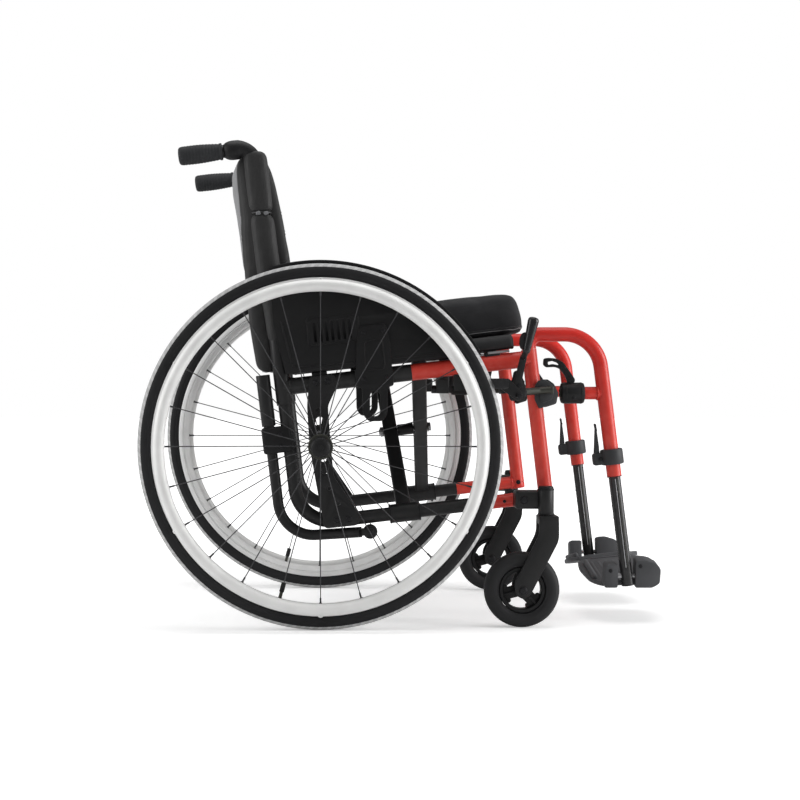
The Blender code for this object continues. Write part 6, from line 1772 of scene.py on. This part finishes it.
def back_stitches(side, name):
    """The tucked seam between the two sleeves, with its two short bar tacks."""
    middle = post_at(BACK_SEAM, side)
    ring = []
    for step in range(64):
        x, y = squared(math.tau * step / 64, 0.78, 0.82)
        ring.append(middle + Vector((0.0150 * x, 0.0108 * y, 0)))
    parts = [(tube(ring, 0.0018, 6, cyclic=True), PIPING)]
    for ahead in (-0.0055, 0.0075):
        at = place(middle.x - AXLE_FORWARD + ahead, BACK_SEAM - 0.0012, side, HALF_WIDTH + 0.0108)
        half = Vector((0.0040, 0, 0.0006))
        parts.append((rod(at - half, at + half, 0.0030, 20, 0.0018), PAINTED_SHEEN_CLOTH))
    seam = stitching(f"look_back_stitches_{name}", parts)
    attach(seam, frame["nodes"]["back_tube_" + name]["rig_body"])


seat_cushion()
seat_sling()
back_panel()
for side_name, side_sign in SIDES.items():
    back_sleeve(side_sign, side_name, BACK_SEAM + 0.0012, BACK_TOP - 0.001, "upper")
    back_sleeve(side_sign, side_name, SLEEVE_FOOT, BACK_SEAM - 0.0012, "lower")
    back_stitches(side_sign, side_name)


# Floor, light and camera

def floor():
    work = bmesh.new()
    bmesh.ops.create_grid(work, x_segments=2, y_segments=2, size=14)
    made = from_bmesh(work, "floor")
    surface = Surface("floor", (0.93, 0.93, 0.93), 0.9)
    surface.vary(0.7, 0.01)
    surface.raise_by(surface.grain(60, 2.0), 0.03, 0.0005)
    path = surface.add("ShaderNodeLightPath")
    glow = surface.add("ShaderNodeEmission")
    share = surface.spread(surface.length(surface.place), 0.32, 1.0, 0.75, 2.0)
    seen = surface.calculate("MULTIPLY", path.outputs["Is Camera Ray"], share)
    surface.link(seen, glow.inputs["Strength"])
    both = surface.add("ShaderNodeAddShader")
    surface.link(surface.shader.outputs[0], both.inputs[0])
    surface.link(glow.outputs[0], both.inputs[1])
    surface.link(both.outputs[0], surface.tree.nodes["Material Output"].inputs["Surface"])
    made.data.materials.append(surface.material)


def lamp(name, at, target, size, energy):
    data = bpy.data.lights.new(name, "AREA")
    data.shape = "RECTANGLE"
    data.size, data.size_y = size
    data.energy = energy
    made = link(name, data)
    made.location = at
    made.rotation_euler = (Vector(target) - Vector(at)).to_track_quat("-Z", "Y").to_euler()


def world():
    """White to the camera, dimmer as a light, and dimmest in reflections."""
    made = bpy.data.worlds.new("studio")
    bpy.context.scene.world = made
    nodes = Nodes(made)
    back = nodes.tree.nodes["Background"]
    back.inputs["Color"].default_value = (1, 1, 1, 1)
    path = nodes.add("ShaderNodeLightPath").outputs
    seen = nodes.calculate("MAXIMUM", path["Is Camera Ray"], path["Is Transmission Ray"])
    glossy = nodes.calculate("MULTIPLY", path["Is Glossy Ray"], 0.12)
    both = nodes.calculate("MAXIMUM", seen, glossy)
    nodes.link(nodes.spread(both, 0.30, 1.0), back.inputs["Strength"])


def camera():
    data = bpy.data.cameras.new("camera")
    data.lens = 70.5
    data.sensor_width = 36
    data.shift_x = 0.105
    data.shift_y = -0.025
    made = link("camera", data)
    made.location = (AXLE_FORWARD - 0.0074, -2.825, 0.409)
    made.rotation_euler = (math.pi / 2, 0, 0)
    bpy.context.scene.camera = made


floor()
world()
camera()
lamp("left", (-2.8, -0.8, 1.3), (0, 0, 0.4), (1.6, 1.8), 40)
lamp("right", (2.9, -0.7, 1.0), (0.1, 0, 0.4), (1.6, 1.8), 72)
lamp("top", (0.0, 0.0, 3.0), (0, 0, 0.3), (2.4, 2.0), 40)
bpy.context.scene.view_settings.view_transform = "Standard"
